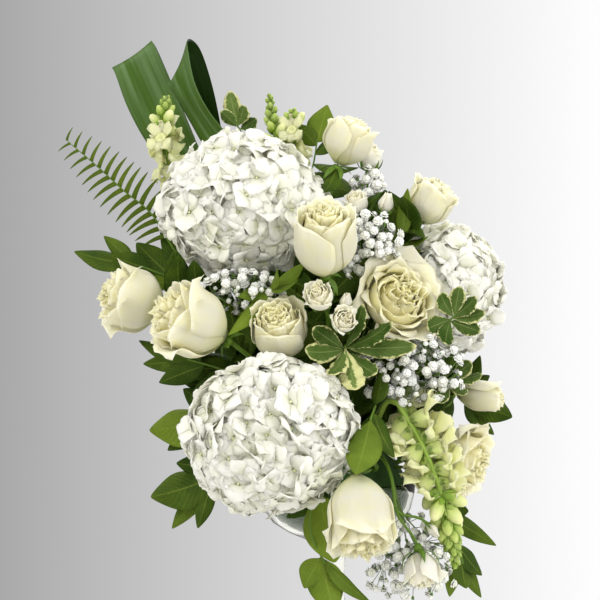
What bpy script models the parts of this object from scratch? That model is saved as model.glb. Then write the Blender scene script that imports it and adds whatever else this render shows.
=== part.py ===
"""White and cream flower arrangement standing in a plain footed clear glass bowl.

Sizes and places below are in millimetres: x to the viewer's right, y away from the viewer, z up from the
table, with the origin under the middle of the bowl's foot. The meshes are made in metres.
"""

import math
import random

import bmesh
import bpy
from mathutils import Matrix, Vector
from mathutils.bvhtree import BVHTree

MM = 0.001
UP = Vector((0.0, 0.0, 1.0))
GAP = 0.3
GOLDEN_ANGLE = math.radians(137.508)

# Bowl: a turned foot, stem and cup, as (radius, height), outside first
FOOT_RADIUS = 58.0
RIM_RADIUS = 69.0
RIM_HEIGHT = 140.0
WALL = 3.0
BOWL_SEGMENTS = 14
FOAM_SEGMENTS = 7
BOWL_OUTSIDE = [
    (0.0, 0.0), (FOOT_RADIUS, 0.0), (FOOT_RADIUS, 2.4), (15.0, 8.5), (7.5, 20.0),
    (6.5, 64.0), (9.5, 80.0), (26.0, 88.5), (44.0, 96.0), (57.0, 104.5), (64.5, 116.0), (68.0, 130.0),
    (RIM_RADIUS, RIM_HEIGHT),
]
BOWL_INSIDE = [
    (RIM_RADIUS - WALL, RIM_HEIGHT), (65.0, 130.5), (61.6, 117.5), (55.0, 107.5), (42.5, 99.0), (25.0, 91.8),
    (0.0, 88.0),
]

# Foam: fills the cup and rises in a dome, with a hole for every stem
FOAM_PROFILE = [
    (0.0, 88.4), (24.7, 92.2), (54.2, 107.8), (64.3, 130.8), (63.5, 138.0), (44.0, 172.0), (0.0, 178.0),
]
FOAM_CENTRE = Vector((0.0, 0.0, 138.0))
STEM_DEPTH = 20.0
STRAIGHT_RUN = 4.0
HOLE_CLEARANCE = 0.45

# Stems: how far a way from the foam may turn, rise and sweep while it looks for room
STEM_SIDES = 4
LOWEST_RISE = 16.0
HIGHEST_RISE = 84.0
ROUTE_TURNS = [0, 9, -9, 18, -18, 28, -28, 40, -40, 55, -55, 72, -72, 95, -95, 125, -125]
ROUTE_LIFTS = [0, 10, -10, 22, -22, 36, 52]
ROUTE_SWEEPS = [0.35, 0.55, 0.2, 0.8]
ROUTE_STEPS = 3
ROOM = 0.45
LAST_SHARE = 0.93

# Heads of hydrangea: centre, half sizes along x, y and z, axis from the stalk outwards
HYDRANGEAS = {
    "hydrangea_left": ((-82, -15, 380), (72, 57, 63), (-0.38, -0.05, 0.92)),
    "hydrangea_low": ((-56, -104, 187), (73, 55, 65), (-0.38, -0.80, 0.46)),
    "hydrangea_right": ((95, 24, 308), (52, 48, 58), (0.50, 0.15, 0.85)),
}
HYDRANGEA_STALK = 3.2
STALK_NECK = 5.0
FLORETS = 26
FLORET_SPREAD = math.radians(24.0)
STALK_SEAT = math.radians(9.0)

# Roses: where the bloom sits on its calyx, axis, length, radius, flare from closed 0 to blown 1
ROSES = {
    "rose_far_left": ((-150, -30, 292), (-0.90, -0.25, 0.27), 58, 29, 0.45),
    "rose_left": ((-96, -72, 266), (-0.84, -0.36, 0.42), 69, 29, 0.55),
    "rose_upright": ((-11, -70, 321), (-0.04, -0.62, 0.78), 70, 28, 0.15),
    "rose_centre": ((-47, -58, 256), (-0.12, -0.74, 0.66), 52, 25, 0.15),
    "rose_open": ((43, -38, 292), (0.36, -0.86, 0.36), 42, 33, 0.80),
    "rose_top": ((1, 0, 418), (0.38, -0.18, 0.90), 44, 22, 0.15),
    "rose_upper_right": ((71, 2, 367), (0.52, -0.12, 0.84), 43, 21, 0.30),
    "rose_right_bud": ((104, -8, 217), (0.97, -0.15, -0.10), 43, 14.5, 0.15),
    "rose_hanging": ((13, -122, 157), (0.10, -0.45, -0.89), 73, 28, 0.35),
    "rose_lower_right": ((88, -16, 166), (0.80, -0.42, -0.26), 46, 30, 0.70),
}
ROSE_STALK = 2.3
ROSE_LAYERS = [3, 4]
CALYX_RADIUS = 4.4
CALYX_LENGTH = 7.0
SEPALS = 3

# Spray roses: the way of the main stem, then each bloom's seat, axis, length and radius
SPRAY_ROSES = {
    "spray_rose_centre": (
        [(-2, -52, 258), (-3, -64, 270)],
        [((-14, -86, 296), (-0.20, -0.80, 0.55), 24, 12.5), ((2, -91, 279), (0.20, -0.90, 0.30), 22, 11),
         ((5, -84, 292), (0.15, -0.45, 0.88), 15, 6)],
    ),
    "spray_rose_upper": (
        [(30, 4, 330), (28, 4, 352)],
        [((29, 27, 415), (0.10, -0.20, 0.97), 24, 11.5), ((18, -14, 374), (-0.15, -0.50, 0.85), 22, 11),
         ((40, -20, 374), (0.25, -0.30, 0.92), 20, 8)],
    ),
    "spray_rose_low": (
        [(44, -82, 150), (47, -88, 126)],
        [((66, -94, 90), (0.12, -0.28, -0.95), 31, 15.5), ((34, -86, 112), (-0.15, 0.10, -0.98), 13, 4.5),
         ((74, -88, 112), (0.60, -0.10, -0.80), 14, 5)],
    ),
}

# Snapdragons: each spike's way from below to its tip, its florets, its buds and the largest floret
SNAPDRAGONS = {
    "snapdragon_left": [([(-122, 54, 378), (-144, 46, 402), (-154, 40, 440), (-153, 38, 480)], 8, 5, 24)],
    "snapdragon_top": [
        ([(-44, 44, 400), (-50, 42, 425), (-56, 39, 452), (-60, 36, 481)], 2, 5, 20),
        ([(-46, 44, 408), (-38, 42, 436), (-39, 36, 468)], 2, 3, 19),
    ],
    "snapdragon_right": [
        ([(50, -72, 212), (69, -78, 180), (83, -79, 146), (91, -78, 112), (98, -77, 78)], 8, 7, 30),
    ],
}

# Broad folded blades: centre line, way across and half width of each row, from the stalk over the fold
ASPIDISTRAS = {
    "aspidistra_left": [
        ((-97, 84, 396), (0.80, 0.10, 0.40), 5), ((-131, 82, 416), (0.85, 0.05, 0.35), 16),
        ((-153, 76, 450), (0.90, 0.00, 0.32), 21), ((-170, 70, 486), (0.87, 0.00, 0.44), 23),
        ((-183, 65, 518), (0.83, 0.00, 0.56), 22), ((-186, 71, 523), (0.83, 0.00, 0.56), 22),
        ((-181, 79, 517), (0.83, 0.00, 0.56), 21), ((-166, 90, 486), (0.86, 0.00, 0.44), 19),
        ((-142, 98, 444), (0.86, 0.00, 0.35), 13),
    ],
    "aspidistra_right": [
        ((-84, 66, 418), (0.75, 0.10, 0.55), 5), ((-104, 56, 438), (0.75, -0.30, 0.45), 12),
        ((-122, 48, 464), (0.62, -0.72, 0.22), 15), ((-133, 44, 484), (0.44, -0.80, 0.36), 18),
        ((-139, 47, 501), (0.40, -0.62, 0.62), 20), ((-142, 52, 513), (0.38, -0.20, 0.90), 21),
        ((-139, 60, 518), (0.42, 0.00, 0.91), 20), ((-132, 67, 511), (0.52, 0.05, 0.85), 18),
        ((-123, 74, 482), (0.72, 0.05, 0.68), 15), ((-113, 80, 450), (0.80, 0.05, 0.55), 10),
    ],
}
ASPIDISTRA_THICKNESS = 1.4
SPIKE_STALK = 2.1

FERN_WAY = [(-150, 22, 352), (-166, 22, 377), (-190, 22, 397), (-213, 22, 418), (-240, 22, 441)]
FERN_PAIRS = 13
FERN_PINNA = 25.0
FERN_START = 0.12
FERN_FILL = 0.62
FERN_RIB = 0.9

# Leafy sprigs: kind, the way of the twig, then each leaf as (place along the twig, tip, width)
SPRIGS = {
    "broad_left": ("broad", [(-112, 16, 300), (-136, 15, 314), (-160, 12, 324), (-184, 10, 333)], [
        (1.00, (-232, 8, 342), 20), (0.95, (-207, 18, 356), 14), (0.70, (-200, 0, 338), 19),
        (0.45, (-178, 18, 350), 26), (0.42, (-172, 4, 312), 14), (0.30, (-160, 34, 402), 21)]),
    "broad_below_left": ("broad", [(-60, -36, 218), (-96, -38, 238), (-130, -32, 248)], [
        (1.00, (-172, -26, 264), 15), (0.95, (-168, -30, 244), 16), (0.75, (-154, -34, 228), 20),
        (0.50, (-128, -30, 212), 20), (0.80, (-146, -8, 270), 17)]),
    "broad_lower_left": ("broad", [(-58, -6, 188), (-88, -12, 198), (-114, -16, 196)], [
        (1.00, (-163, -24, 186), 36), (0.85, (-148, -14, 168), 20), (0.80, (-134, -20, 222), 20),
        (0.60, (-112, 4, 168), 20)]),
    "broad_low_left": ("broad", [(-60, -4, 164), (-88, -8, 156), (-112, -12, 142)], [
        (0.90, (-162, -22, 128), 36), (1.00, (-144, -16, 100), 17), (0.75, (-141, -4, 156), 22),
        (0.97, (-121, -30, 102), 15), (0.50, (-88, 8, 122), 20)]),
    "broad_front": ("broad", [(-4, -68, 154), (-20, -82, 136), (-24, -93, 108), (-12, -95, 80)], [
        (0.28, (-4, -108, 83), 38), (0.55, (-27, -101, 73), 20), (1.00, (-29, -97, 60), 21),
        (0.98, (-4, -92, 38), 30), (0.92, (27, -88, 46), 14), (0.20, (-44, -84, 116), 20)]),
    "broad_centre_low": ("broad", [(30, -62, 204), (30, -92, 211), (25, -118, 201)], [
        (1.00, (12, -156, 160), 28), (0.75, (46, -92, 168), 17), (0.50, (36, -74, 240), 15)]),
    "broad_low_right": ("broad", [(70, -30, 146), (86, -36, 120), (101, -36, 96), (108, -36, 72)], [
        (0.32, (136, -38, 88), 15), (0.75, (124, -36, 62), 17), (1.00, (110, -44, 52), 22),
        (0.95, (124, -30, 42), 12), (0.90, (96, -38, 44), 15), (0.35, (112, -34, 118), 18)]),
    "broad_right": ("broad", [(82, 16, 226), (102, 16, 218), (120, 12, 212)], [
        (1.00, (154, 0, 196), 24), (0.80, (139, 10, 180), 18), (0.70, (127, 12, 250), 16),
        (0.55, (136, 18, 232), 18), (0.40, (96, 30, 176), 22)]),
    "ruscus_upper_right": ("ruscus", [(40, -18, 316), (52, -17, 338), (57, -17, 356)], [
        (1.00, (61, -22, 396), 13), (0.80, (42, -16, 388), 13), (0.75, (78, -28, 354), 10),
        (0.50, (72, -34, 342), 10), (0.60, (38, -30, 362), 11)]),
    "ruscus_top": ("ruscus", [(-26, 40, 396), (-20, 40, 424), (-17, 40, 444)], [
        (0.95, (-8, 42, 475), 24), (0.85, (-34, 34, 457), 15), (0.65, (2, 38, 452), 15),
        (0.30, (17, 18, 394), 24), (0.45, (20, 34, 418), 14)]),
    "ruscus_centre": ("ruscus", [(-48, -38, 292), (-56, -58, 304), (-58, -72, 309)], [
        (0.90, (-92, -96, 270), 13), (0.80, (-84, -84, 302), 12), (1.00, (-34, -98, 316), 11),
        (0.85, (-23, -78, 336), 12), (0.95, (-52, -98, 326), 11), (0.60, (-86, -62, 286), 12)]),
    "broad_back_left": ("broad", [(-20, 58, 200), (-24, 66, 245), (-30, 70, 290), (-34, 74, 318)], [
        (0.93, (-60, 66, 372), 32), (0.86, (-92, 70, 312), 32), (0.78, (12, 66, 346), 32),
        (0.62, (-86, 62, 268), 32), (0.52, (20, 66, 292), 32), (0.35, (-78, 58, 228), 32),
        (0.20, (22, 66, 240), 30), (0.08, (-62, 76, 170), 30),
        (0.03, (-22, 88, 146), 30), (0.26, (-52, 104, 226), 32), (0.12, (-14, 108, 196), 30),
        (0.44, (-46, 106, 282), 32), (0.60, (-2, 106, 330), 30)]),
    "broad_back_right": ("broad", [(32, 40, 205), (42, 44, 245), (44, 44, 290), (38, 42, 340)], [
        (0.93, (44, 34, 398), 32), (0.84, (-6, 36, 380), 30), (0.74, (46, 92, 350), 32),
        (0.58, (6, 48, 318), 30), (0.50, (88, 56, 246), 32), (0.30, (92, 40, 206), 32),
        (0.15, (70, 62, 176), 28), (0.05, (26, 82, 142), 30), (0.10, (52, 92, 186), 30),
        (0.24, (16, 98, 232), 32), (0.38, (66, 92, 268), 30), (0.54, (28, 98, 302), 30)]),
    "pittosporum_centre": ("pittosporum", [(6, -50, 236), (6, -70, 250), (5, -87, 261)], [
        (0.93, (64, -100, 261), 16), (0.88, (44, -104, 281), 15), (0.90, (20, -112, 294), 13),
        (0.84, (-28, -114, 257), 17), (0.80, (-22, -102, 276), 15), (0.86, (-8, -122, 238), 16),
        (0.91, (13, -126, 226), 20), (0.78, (30, -108, 238), 18), (0.72, (38, -82, 268), 15)]),
    "pittosporum_right": ("pittosporum", [(76, -40, 262), (90, -49, 276), (100, -54, 287)], [
        (0.90, (86, -64, 305), 14), (0.87, (117, -62, 302), 14), (0.80, (75, -70, 275), 15),
        (0.84, (125, -58, 289), 13), (0.77, (90, -72, 262), 15), (0.74, (121, -58, 272), 13),
        (0.93, (103, -60, 311), 13)]),
    "pittosporum_upper": ("pittosporum", [(-68, 58, 428), (-82, 52, 446), (-90, 47, 458)], [
        (1.00, (-96, 44, 488), 15), (0.95, (-83, 42, 475), 13), (0.90, (-104, 44, 470), 11),
        (0.80, (-72, 50, 464), 12), (0.20, (-104, 58, 440), 18), (0.10, (-90, 66, 438), 16)]),
    "pittosporum_low_right": ("pittosporum", [(74, -36, 222), (88, -42, 227), (98, -46, 231)], [
        (1.00, (113, -56, 247), 13), (0.95, (109, -58, 219), 12), (1.00, (124, -44, 236), 12),
        (0.85, (85, -60, 212), 12)]),
}
TWIG_RADIUS = {"broad": 1.6, "ruscus": 1.5, "pittosporum": 1.4}
LEAF_ROWS = 2
LEAF_THICKNESS = 1.3
LEAF_FOLD = 0.22
LEAF_ARCH = 0.07
LEAF_WAVES = {"broad": 0.05, "ruscus": 0.05, "pittosporum": 0.18}
LEAF_FACING = Vector((0.0, -1.0, 0.45))
TIP_SHIFTS = [
    (0, 0, 0), (0, -8, 0), (0, 8, 0), (5, -4, 5), (-5, -4, 5), (5, -4, -5), (-5, -4, -5), (0, -17, 2),
    (0, 17, 2), (11, 0, 9), (-11, 0, 9), (11, 0, -9), (-11, 0, -9), (0, -27, 0), (0, 27, 0),
]
TIP_REACHES = [1.0, 0.8, 0.62]

# Baby's breath: root of the spray, middle of the cloud, its half sizes and its flowers
BABYS_BREATH = {
    "babys_breath_left": ((-62, -40, 272), (-84, -62, 306), (36, 16, 15), 9),
    "babys_breath_upper": ((26, -22, 312), (26, -44, 342), (28, 17, 32), 11),
    "babys_breath_right": ((46, -44, 222), (62, -66, 240), (46, 16, 28), 10),
    "babys_breath_low": ((50, -66, 130), (62, -68, 80), (36, 18, 34), 10),
    "babys_breath_top": ((16, 8, 372), (28, 6, 400), (15, 10, 15), 5),
}
BREATH_STALK = 1.2
BREATH_BRANCHES = 3
BREATH_TRIES = 9
BREATH_FLOWER = 3.8
BREATH_PEDICEL = 7.0
BREATH_SPACING = 8.6

COLOURS = {
    "glass": ((0.80, 0.84, 0.82, 1.0), 0.05),
    "foam": ((0.03, 0.09, 0.03, 1.0), 0.95),
    "hydrangea": ((0.86, 0.86, 0.82, 1.0), 0.65),
    "rose": ((0.86, 0.82, 0.62, 1.0), 0.60),
    "stem": ((0.16, 0.27, 0.06, 1.0), 0.55),
    "spray_rose": ((0.86, 0.84, 0.72, 1.0), 0.60),
    "snapdragon": ((0.66, 0.74, 0.38, 1.0), 0.60),
    "breath": ((0.82, 0.84, 0.80, 1.0), 0.70),
    "aspidistra": ((0.08, 0.17, 0.05, 1.0), 0.40),
    "fern": ((0.14, 0.24, 0.05, 1.0), 0.60),
    "broad": ((0.06, 0.15, 0.02, 1.0), 0.40),
    "ruscus": ((0.09, 0.20, 0.03, 1.0), 0.45),
    "pittosporum": ((0.24, 0.32, 0.16, 1.0), 0.50),
}

placed = []
holes = []


class Shape:
    """A closed body as plain vertices, in millimetres, and faces."""

    def __init__(self, verts, faces):
        self.verts = verts
        self.faces = faces

    def tree(self, verts=None):
        """Search tree of its faces, for finding what touches it."""
        return BVHTree.FromPolygons(verts or self.verts, self.faces)

    def swollen(self, by):
        """Its vertices, each moved out along the mean of the faces round it."""
        normals = [Vector() for _ in self.verts]
        for face in self.faces:
            a, b, c = (self.verts[index] for index in face[:3])
            across = (b - a).cross(c - a)
            for index in face:
                normals[index] += across
        return [vert + normal.normalized() * by for vert, normal in zip(self.verts, normals)]


def reset_scene():
    """Remove what the file already holds."""
    for thing in list(bpy.data.objects):
        bpy.data.objects.remove(thing, do_unlink=True)


def make_material(name, colour, roughness):
    """Plain surface of one colour."""
    material = bpy.data.materials.new(name)
    material.use_nodes = True
    surface = material.node_tree.nodes["Principled BSDF"]
    surface.inputs["Base Color"].default_value = colour
    surface.inputs["Roughness"].default_value = roughness
    surface.inputs["Metallic"].default_value = 0.0
    return material


def make_mesh(name, shape):
    """Blender mesh in metres, its faces turned outwards."""
    mesh = bpy.data.meshes.new(name)
    mesh.from_pydata([vert * MM for vert in shape.verts], [], shape.faces)
    work = bmesh.new()
    work.from_mesh(mesh)
    bmesh.ops.recalc_face_normals(work, faces=work.faces)
    work.to_mesh(mesh)
    work.free()
    return mesh


def finish(name, mesh, kind):
    """Named object of a sub-part, with its own material."""
    thing = bpy.data.objects.new(name, mesh)
    bpy.context.scene.collection.objects.link(thing)
    mesh.materials.clear()
    mesh.materials.append(make_material(name, *COLOURS[kind]))
    mesh.shade_smooth()
    mesh.set_sharp_from_angle(angle=math.radians(40.0))
    return thing


def combine(thing, others, operation, solver):
    """Mesh of one object joined with, or cut by, a collection of others, which are then removed."""
    helpers = bpy.data.collections.new("helpers")
    bpy.context.scene.collection.children.link(helpers)
    for other in others:
        helpers.objects.link(other)
    modifier = thing.modifiers.new("combine", "BOOLEAN")
    modifier.operation = operation
    modifier.operand_type = "COLLECTION"
    modifier.collection = helpers
    modifier.solver = solver
    evaluated = thing.evaluated_get(bpy.context.evaluated_depsgraph_get())
    mesh = bpy.data.meshes.new_from_object(evaluated)
    for other in others:
        bpy.data.objects.remove(other, do_unlink=True)
    bpy.data.objects.remove(thing, do_unlink=True)
    bpy.data.collections.remove(helpers)
    return mesh


def keep_main_body(mesh):
    """Drop loose scraps and sealed hollows, so that one body is left."""
    work = bmesh.new()
    work.from_mesh(mesh)
    bmesh.ops.dissolve_limit(work, angle_limit=math.radians(0.1), verts=work.verts, edges=work.edges)
    bmesh.ops.triangulate(work, faces=work.faces)
    unseen = set(work.verts)
    bodies = []
    while unseen:
        front = [unseen.pop()]
        body = set(front)
        while front:
            for edge in front.pop().link_edges:
                for vert in edge.verts:
                    if vert in unseen:
                        unseen.discard(vert)
                        body.add(vert)
                        front.append(vert)
        bodies.append(body)
    bodies.sort(key=body_size)
    loose = [vert for body in bodies[:-1] for vert in body]
    bmesh.ops.delete(work, geom=loose, context="VERTS")
    work.to_mesh(mesh)
    work.free()
    return mesh


def body_size(body):
    """Diagonal of the box round some vertices."""
    lows = [min(vert.co[axis] for vert in body) for axis in range(3)]
    highs = [max(vert.co[axis] for vert in body) for axis in range(3)]
    return (Vector(highs) - Vector(lows)).length


def fuse(name, shapes, kind):
    """One solid object from shapes that reach into each other."""
    things = []
    for index, shape in enumerate(shapes):
        thing = bpy.data.objects.new(f"{name}_{index}", make_mesh(name, shape))
        things.append(thing)
    bpy.context.scene.collection.objects.link(things[0])
    if len(things) > 1:
        mesh = combine(things[0], things[1:], "UNION", "MANIFOLD")
    else:
        mesh = things[0].data
        bpy.data.objects.remove(things[0], do_unlink=True)
    return finish(name, keep_main_body(mesh), kind)


# Room: what is placed, and whether something more would touch it

def settle(owner, shape, bulky=False):
    """Note a shape as placed."""
    low = Vector([min(vert[axis] for vert in shape.verts) for axis in range(3)])
    high = Vector([max(vert[axis] for vert in shape.verts) for axis in range(3)])
    placed.append((owner, low, high, shape.tree(), bulky))


def has_room(owner, shape, room=ROOM, ignore=()):
    """Whether a shape stays clear of everything placed by other owners."""
    verts = shape.swollen(room)
    low = Vector([min(vert[axis] for vert in verts) for axis in range(3)])
    high = Vector([max(vert[axis] for vert in verts) for axis in range(3)])
    tree = shape.tree(verts)
    for other, other_low, other_high, other_tree, bulky in placed:
        if other == owner or other in ignore:
            continue
        if any(low[axis] > other_high[axis] or high[axis] < other_low[axis] for axis in range(3)):
            continue
        if tree.overlap(other_tree):
            return False
        if bulky and any(is_inside(other_tree, vert) for vert in shape.verts[::2]):
            return False
    return True


def is_inside(tree, point):
    """Whether a point lies inside a closed, bulky body."""
    place, normal, _, _ = tree.find_nearest(point)
    return (point - place).dot(normal) < 0.0


# Shapes: tubes, turned bodies, blades, petals and heads

def two_sides(direction):
    """Two unit vectors square to a direction and to each other."""
    helper = Vector((1.0, 0.0, 0.0)) if abs(direction.x) < 0.8 else Vector((0.0, 1.0, 0.0))
    first = direction.cross(helper).normalized()
    return first, direction.cross(first).normalized()


def tube(points, radii, sides=STEM_SIDES):
    """Closed tube along points, with a radius at each."""
    points = [Vector(point) for point in points]
    verts = []
    faces = []
    first = None
    for index, point in enumerate(points):
        before = points[max(index - 1, 0)]
        after = points[min(index + 1, len(points) - 1)]
        direction = (after - before).normalized()
        if first is None:
            first, second = two_sides(direction)
        else:
            first = (first - direction * first.dot(direction)).normalized()
            second = direction.cross(first).normalized()
        for side in range(sides):
            angle = 2.0 * math.pi * side / sides
            verts.append(point + (first * math.cos(angle) + second * math.sin(angle)) * radii[index])
    for ring in range(len(points) - 1):
        for side in range(sides):
            a = ring * sides + side
            b = ring * sides + (side + 1) % sides
            faces.append((a, b, b + sides))
            faces.append((a, b + sides, a + sides))
    last = (len(points) - 1) * sides
    for side in range(1, sides - 1):
        faces.append((0, side + 1, side))
        faces.append((last, last + side, last + side + 1))
    return Shape(verts, faces)


def turned(profile, segments):
    """Closed body turned about z from a profile that starts and ends on the axis."""
    verts = [Vector((0.0, 0.0, profile[0][1]))]
    for radius, height in profile[1:-1]:
        for step in range(segments):
            angle = 2.0 * math.pi * step / segments
            verts.append(Vector((radius * math.cos(angle), radius * math.sin(angle), height)))
    verts.append(Vector((0.0, 0.0, profile[-1][1])))
    faces = []
    rings = len(profile) - 2
    for step in range(segments):
        following = (step + 1) % segments
        faces.append((0, 1 + following, 1 + step))
        for ring in range(rings - 1):
            a = 1 + ring * segments + step
            b = 1 + ring * segments + following
            faces.append((a, b, b + segments))
            faces.append((a, b + segments, a + segments))
        last = 1 + (rings - 1) * segments
        faces.append((last + step, last + following, len(verts) - 1))
    return Shape(verts, faces)


def smooth_way(points, steps):
    """Points along a smooth curve through a few places."""
    points = [Vector(point) for point in points]
    ends = [points[0] * 2 - points[1]] + points + [points[-1] * 2 - points[-2]]
    way = []
    for index in range(1, len(ends) - 2):
        a, b, c, d = ends[index - 1:index + 3]
        for step in range(steps):
            t = step / steps
            way.append(0.5 * ((2 * b) + (c - a) * t + (2 * a - 5 * b + 4 * c - d) * t ** 2
                              + (3 * b - a - 3 * c + d) * t ** 3))
    way.append(points[-1])
    return way


def place_along(way, share):
    """Point and direction at a share of the way."""
    spot = min(share, LAST_SHARE) * (len(way) - 1)
    index = min(int(spot), len(way) - 2)
    return way[index].lerp(way[index + 1], spot - index), (way[index + 1] - way[index]).normalized()


def grid_blade(centres, edges_left, edges_right, normals, thickness):
    """Thin closed blade: pointed ends, thick along its rib, sharp at its edges."""
    verts = [centres[0]]
    rows = len(centres) - 2
    for row in range(1, rows + 1):
        lift = normals[row] * thickness / 2.0
        verts += [edges_left[row], centres[row] + lift, edges_right[row], centres[row] - lift]
    verts.append(centres[-1])
    tip = len(verts) - 1
    faces = []
    for rib, turn in ((1, False), (3, True)):
        face_list = []
        for edge in (0, 2):
            flip = edge == 2
            strip = [(0, 1 + rib, 1 + edge)]
            for row in range(rows - 1):
                near = 1 + 4 * row
                far = near + 4
                strip += [(near + rib, far + rib, far + edge), (near + rib, far + edge, near + edge)]
            last = 1 + 4 * (rows - 1)
            strip.append((last + rib, tip, last + edge))
            face_list += [tuple(reversed(face)) if flip else face for face in strip]
        faces += [tuple(reversed(face)) if turn else face for face in face_list]
    return Shape(verts, faces)


def leaf_normal(direction, roll):
    """Unit vector that a leaf's upper face looks along."""
    square = (LEAF_FACING - direction * LEAF_FACING.dot(direction)).normalized()
    return (Matrix.Rotation(roll, 3, direction) @ square).normalized()


def leaf(base, tip, width, rows, roll, wave=0.0):
    """Leaf blade from its foot to its tip, folded along its midrib and arched."""
    length = (tip - base).length
    direction = (tip - base).normalized()
    normal = leaf_normal(direction, roll)
    side = direction.cross(normal)
    centres = []
    lefts = []
    rights = []
    for row in range(rows + 2):
        share = row / (rows + 1)
        half = width / 2.0 * leaf_profile(share)
        ripple = wave * half * (1.0 if row % 2 else -1.0)
        centre = base + direction * length * share + normal * LEAF_ARCH * length * math.sin(math.pi * share)
        centres.append(centre)
        lefts.append(centre - side * half + normal * (LEAF_FOLD * half + ripple))
        rights.append(centre + side * half + normal * (LEAF_FOLD * half - ripple))
    return grid_blade(centres, lefts, rights, [normal] * (rows + 2), LEAF_THICKNESS)


def leaf_profile(share):
    """Half width of a leaf at a share of its length, as a part of its widest."""
    return math.sin(math.pi * share ** 0.85) ** 0.75 if 0.0 < share < 1.0 else 0.0


def spindle(base, tip, radius, sides=4, belly=0.5):
    """Bud with pointed ends, widest at its belly."""
    direction = (tip - base).normalized()
    first, second = two_sides(direction)
    middle = base.lerp(tip, belly)
    verts = [base]
    for side in range(sides):
        angle = 2.0 * math.pi * side / sides
        verts.append(middle + (first * math.cos(angle) + second * math.sin(angle)) * radius)
    verts.append(tip)
    faces = []
    for side in range(sides):
        a = 1 + side
        b = 1 + (side + 1) % sides
        faces += [(0, b, a), (a, b, sides + 1)]
    return Shape(verts, faces)


def frame_at(base, axis):
    """Matrix that stands a shape's z on an axis at a place."""
    turn = UP.rotation_difference(Vector(axis).normalized()).to_matrix().to_4x4()
    return Matrix.Translation(Vector(base)) @ turn


def moved(shape, matrix):
    """The shape in another frame."""
    return Shape([matrix @ vert for vert in shape.verts], shape.faces)


def petal_place(length, radius, flare, layer, layers, angle, across, up):
    """Point on a rose petal: across runs from -1 to 1 and up from 0 to 1."""
    share = (layer + 1) / layers
    foot = radius * (0.04 + 0.20 * share)
    belly = radius * (0.44 + 0.56 * share)
    lip = belly * (0.70 + flare * (0.10 + 0.60 * share))
    top = length * (1.0 - 0.08 * share - 0.24 * flare * share)
    opening = max(0.0, (up - 0.55) / 0.45)
    if up < 0.55:
        out = foot + (belly - foot) * math.sin(math.pi / 2.0 * up / 0.55)
    else:
        out = belly + (lip - belly) * opening ** 2
    spread = math.radians(73.0 - 31.0 * share)
    spread *= (0.55 + 0.45 * math.sin(math.pi / 2.0 * min(up / 0.6, 1.0))) * (1.0 - 0.30 * opening ** 2)
    height = top * (0.03 + 0.97 * up) - 0.10 * top * opening * across ** 2
    turn = angle + across * spread
    return Vector((out * math.cos(turn), out * math.sin(turn), height))


def petal(length, radius, flare, layer, layers, angle, thickness):
    """Cupped closed petal, thick in its middle and sharp at its edge."""
    ups = [0.0, 0.40, 0.75, 1.0] if layer == layers - 1 and radius > 23 else [0.0, 0.52, 1.0]
    grid = [[petal_place(length, radius, flare, layer, layers, angle, across, up)
             for across in (-1.0, 0.0, 1.0)] for up in ups]
    verts = [point for row in grid for point in row]
    faces = []
    backs = {}
    for row in range(1, len(ups) - 1):
        middle = grid[row][1]
        out = Vector((middle.x, middle.y, 0.0)).normalized()
        verts[row * 3 + 1] = middle + out * thickness / 2.0
        backs[row * 3 + 1] = len(verts)
        verts.append(middle - out * thickness / 2.0)
    for row in range(len(ups) - 1):
        for column in range(2):
            a = row * 3 + column
            quad = (a, a + 1, a + 4, a + 3)
            for corners in ((0, 1, 2), (0, 2, 3)) if column == 0 else ((0, 1, 3), (1, 2, 3)):
                face = tuple(quad[corner] for corner in corners)
                faces.append(face)
                faces.append(tuple(backs.get(index, index) for index in reversed(face)))
    return Shape(verts, faces)


def rose_bloom(base, axis, length, radius, flare, counts, turn, sides=5):
    """Core and layered petals of a rose."""
    matrix = frame_at(base, axis)
    core = [(0.0, 0.0), (0.26, 0.0), (0.50, 0.45), (0.24, 0.93), (0.0, 0.86)]
    if radius > 20:
        core.insert(3, (0.46, 0.72))
    shapes = [moved(turned([(part * radius, height * length) for part, height in core], sides), matrix)]
    for layer, count in enumerate(counts):
        for index in range(count):
            angle = turn + 2.0 * math.pi * index / count + layer * 1.1
            thickness = 1.5 if radius > 20 else 1.2
            body = petal(length, radius, flare, layer, len(counts), angle, thickness)
            shapes.append(moved(body, matrix))
    return shapes


def hydrangea_shape(name):
    """Dense head of four-petalled florets: their points are raised or sunk from an egg, and joined."""
    centre, halves, axis = HYDRANGEAS[name]
    axis = Vector(axis).normalized()
    matrix = UP.rotation_difference(axis).to_matrix()
    directions = {}
    for index in range(FLORETS):
        height = 1.0 - 2.0 * (index + 0.5) / FLORETS
        if height < -math.cos(STALK_SEAT + FLORET_SPREAD * 0.8):
            continue
        swing = index * GOLDEN_ANGLE
        flat = math.sqrt(1.0 - height ** 2)
        middle = Vector((flat * math.cos(swing), flat * math.sin(swing), height))
        add_floret(directions, middle, index)
    seat_height = -math.cos(STALK_SEAT)
    for step in range(6):
        angle = math.pi * step / 3.0
        flat = math.sin(STALK_SEAT)
        directions[(flat * math.cos(angle), flat * math.sin(angle), seat_height)] = None
    work = bmesh.new()
    for key in directions:
        work.verts.new(Vector(key).normalized())
    bmesh.ops.convex_hull(work, input=work.verts)
    bmesh.ops.triangulate(work, faces=work.faces)
    keys = [Vector(key) for key in directions]
    lifts = list(directions.values())
    verts = []
    for index, vert in enumerate(work.verts):
        lift = 1.0 if lifts[index] is None else lifts[index]
        place = matrix @ (keys[index].normalized() * lift)
        verts.append(Vector(centre) + Vector([place[i] * halves[i] for i in range(3)]))
    work.verts.index_update()
    faces = [tuple(vert.index for vert in face.verts) for face in work.faces]
    work.free()
    return Shape(verts, faces)


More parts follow.
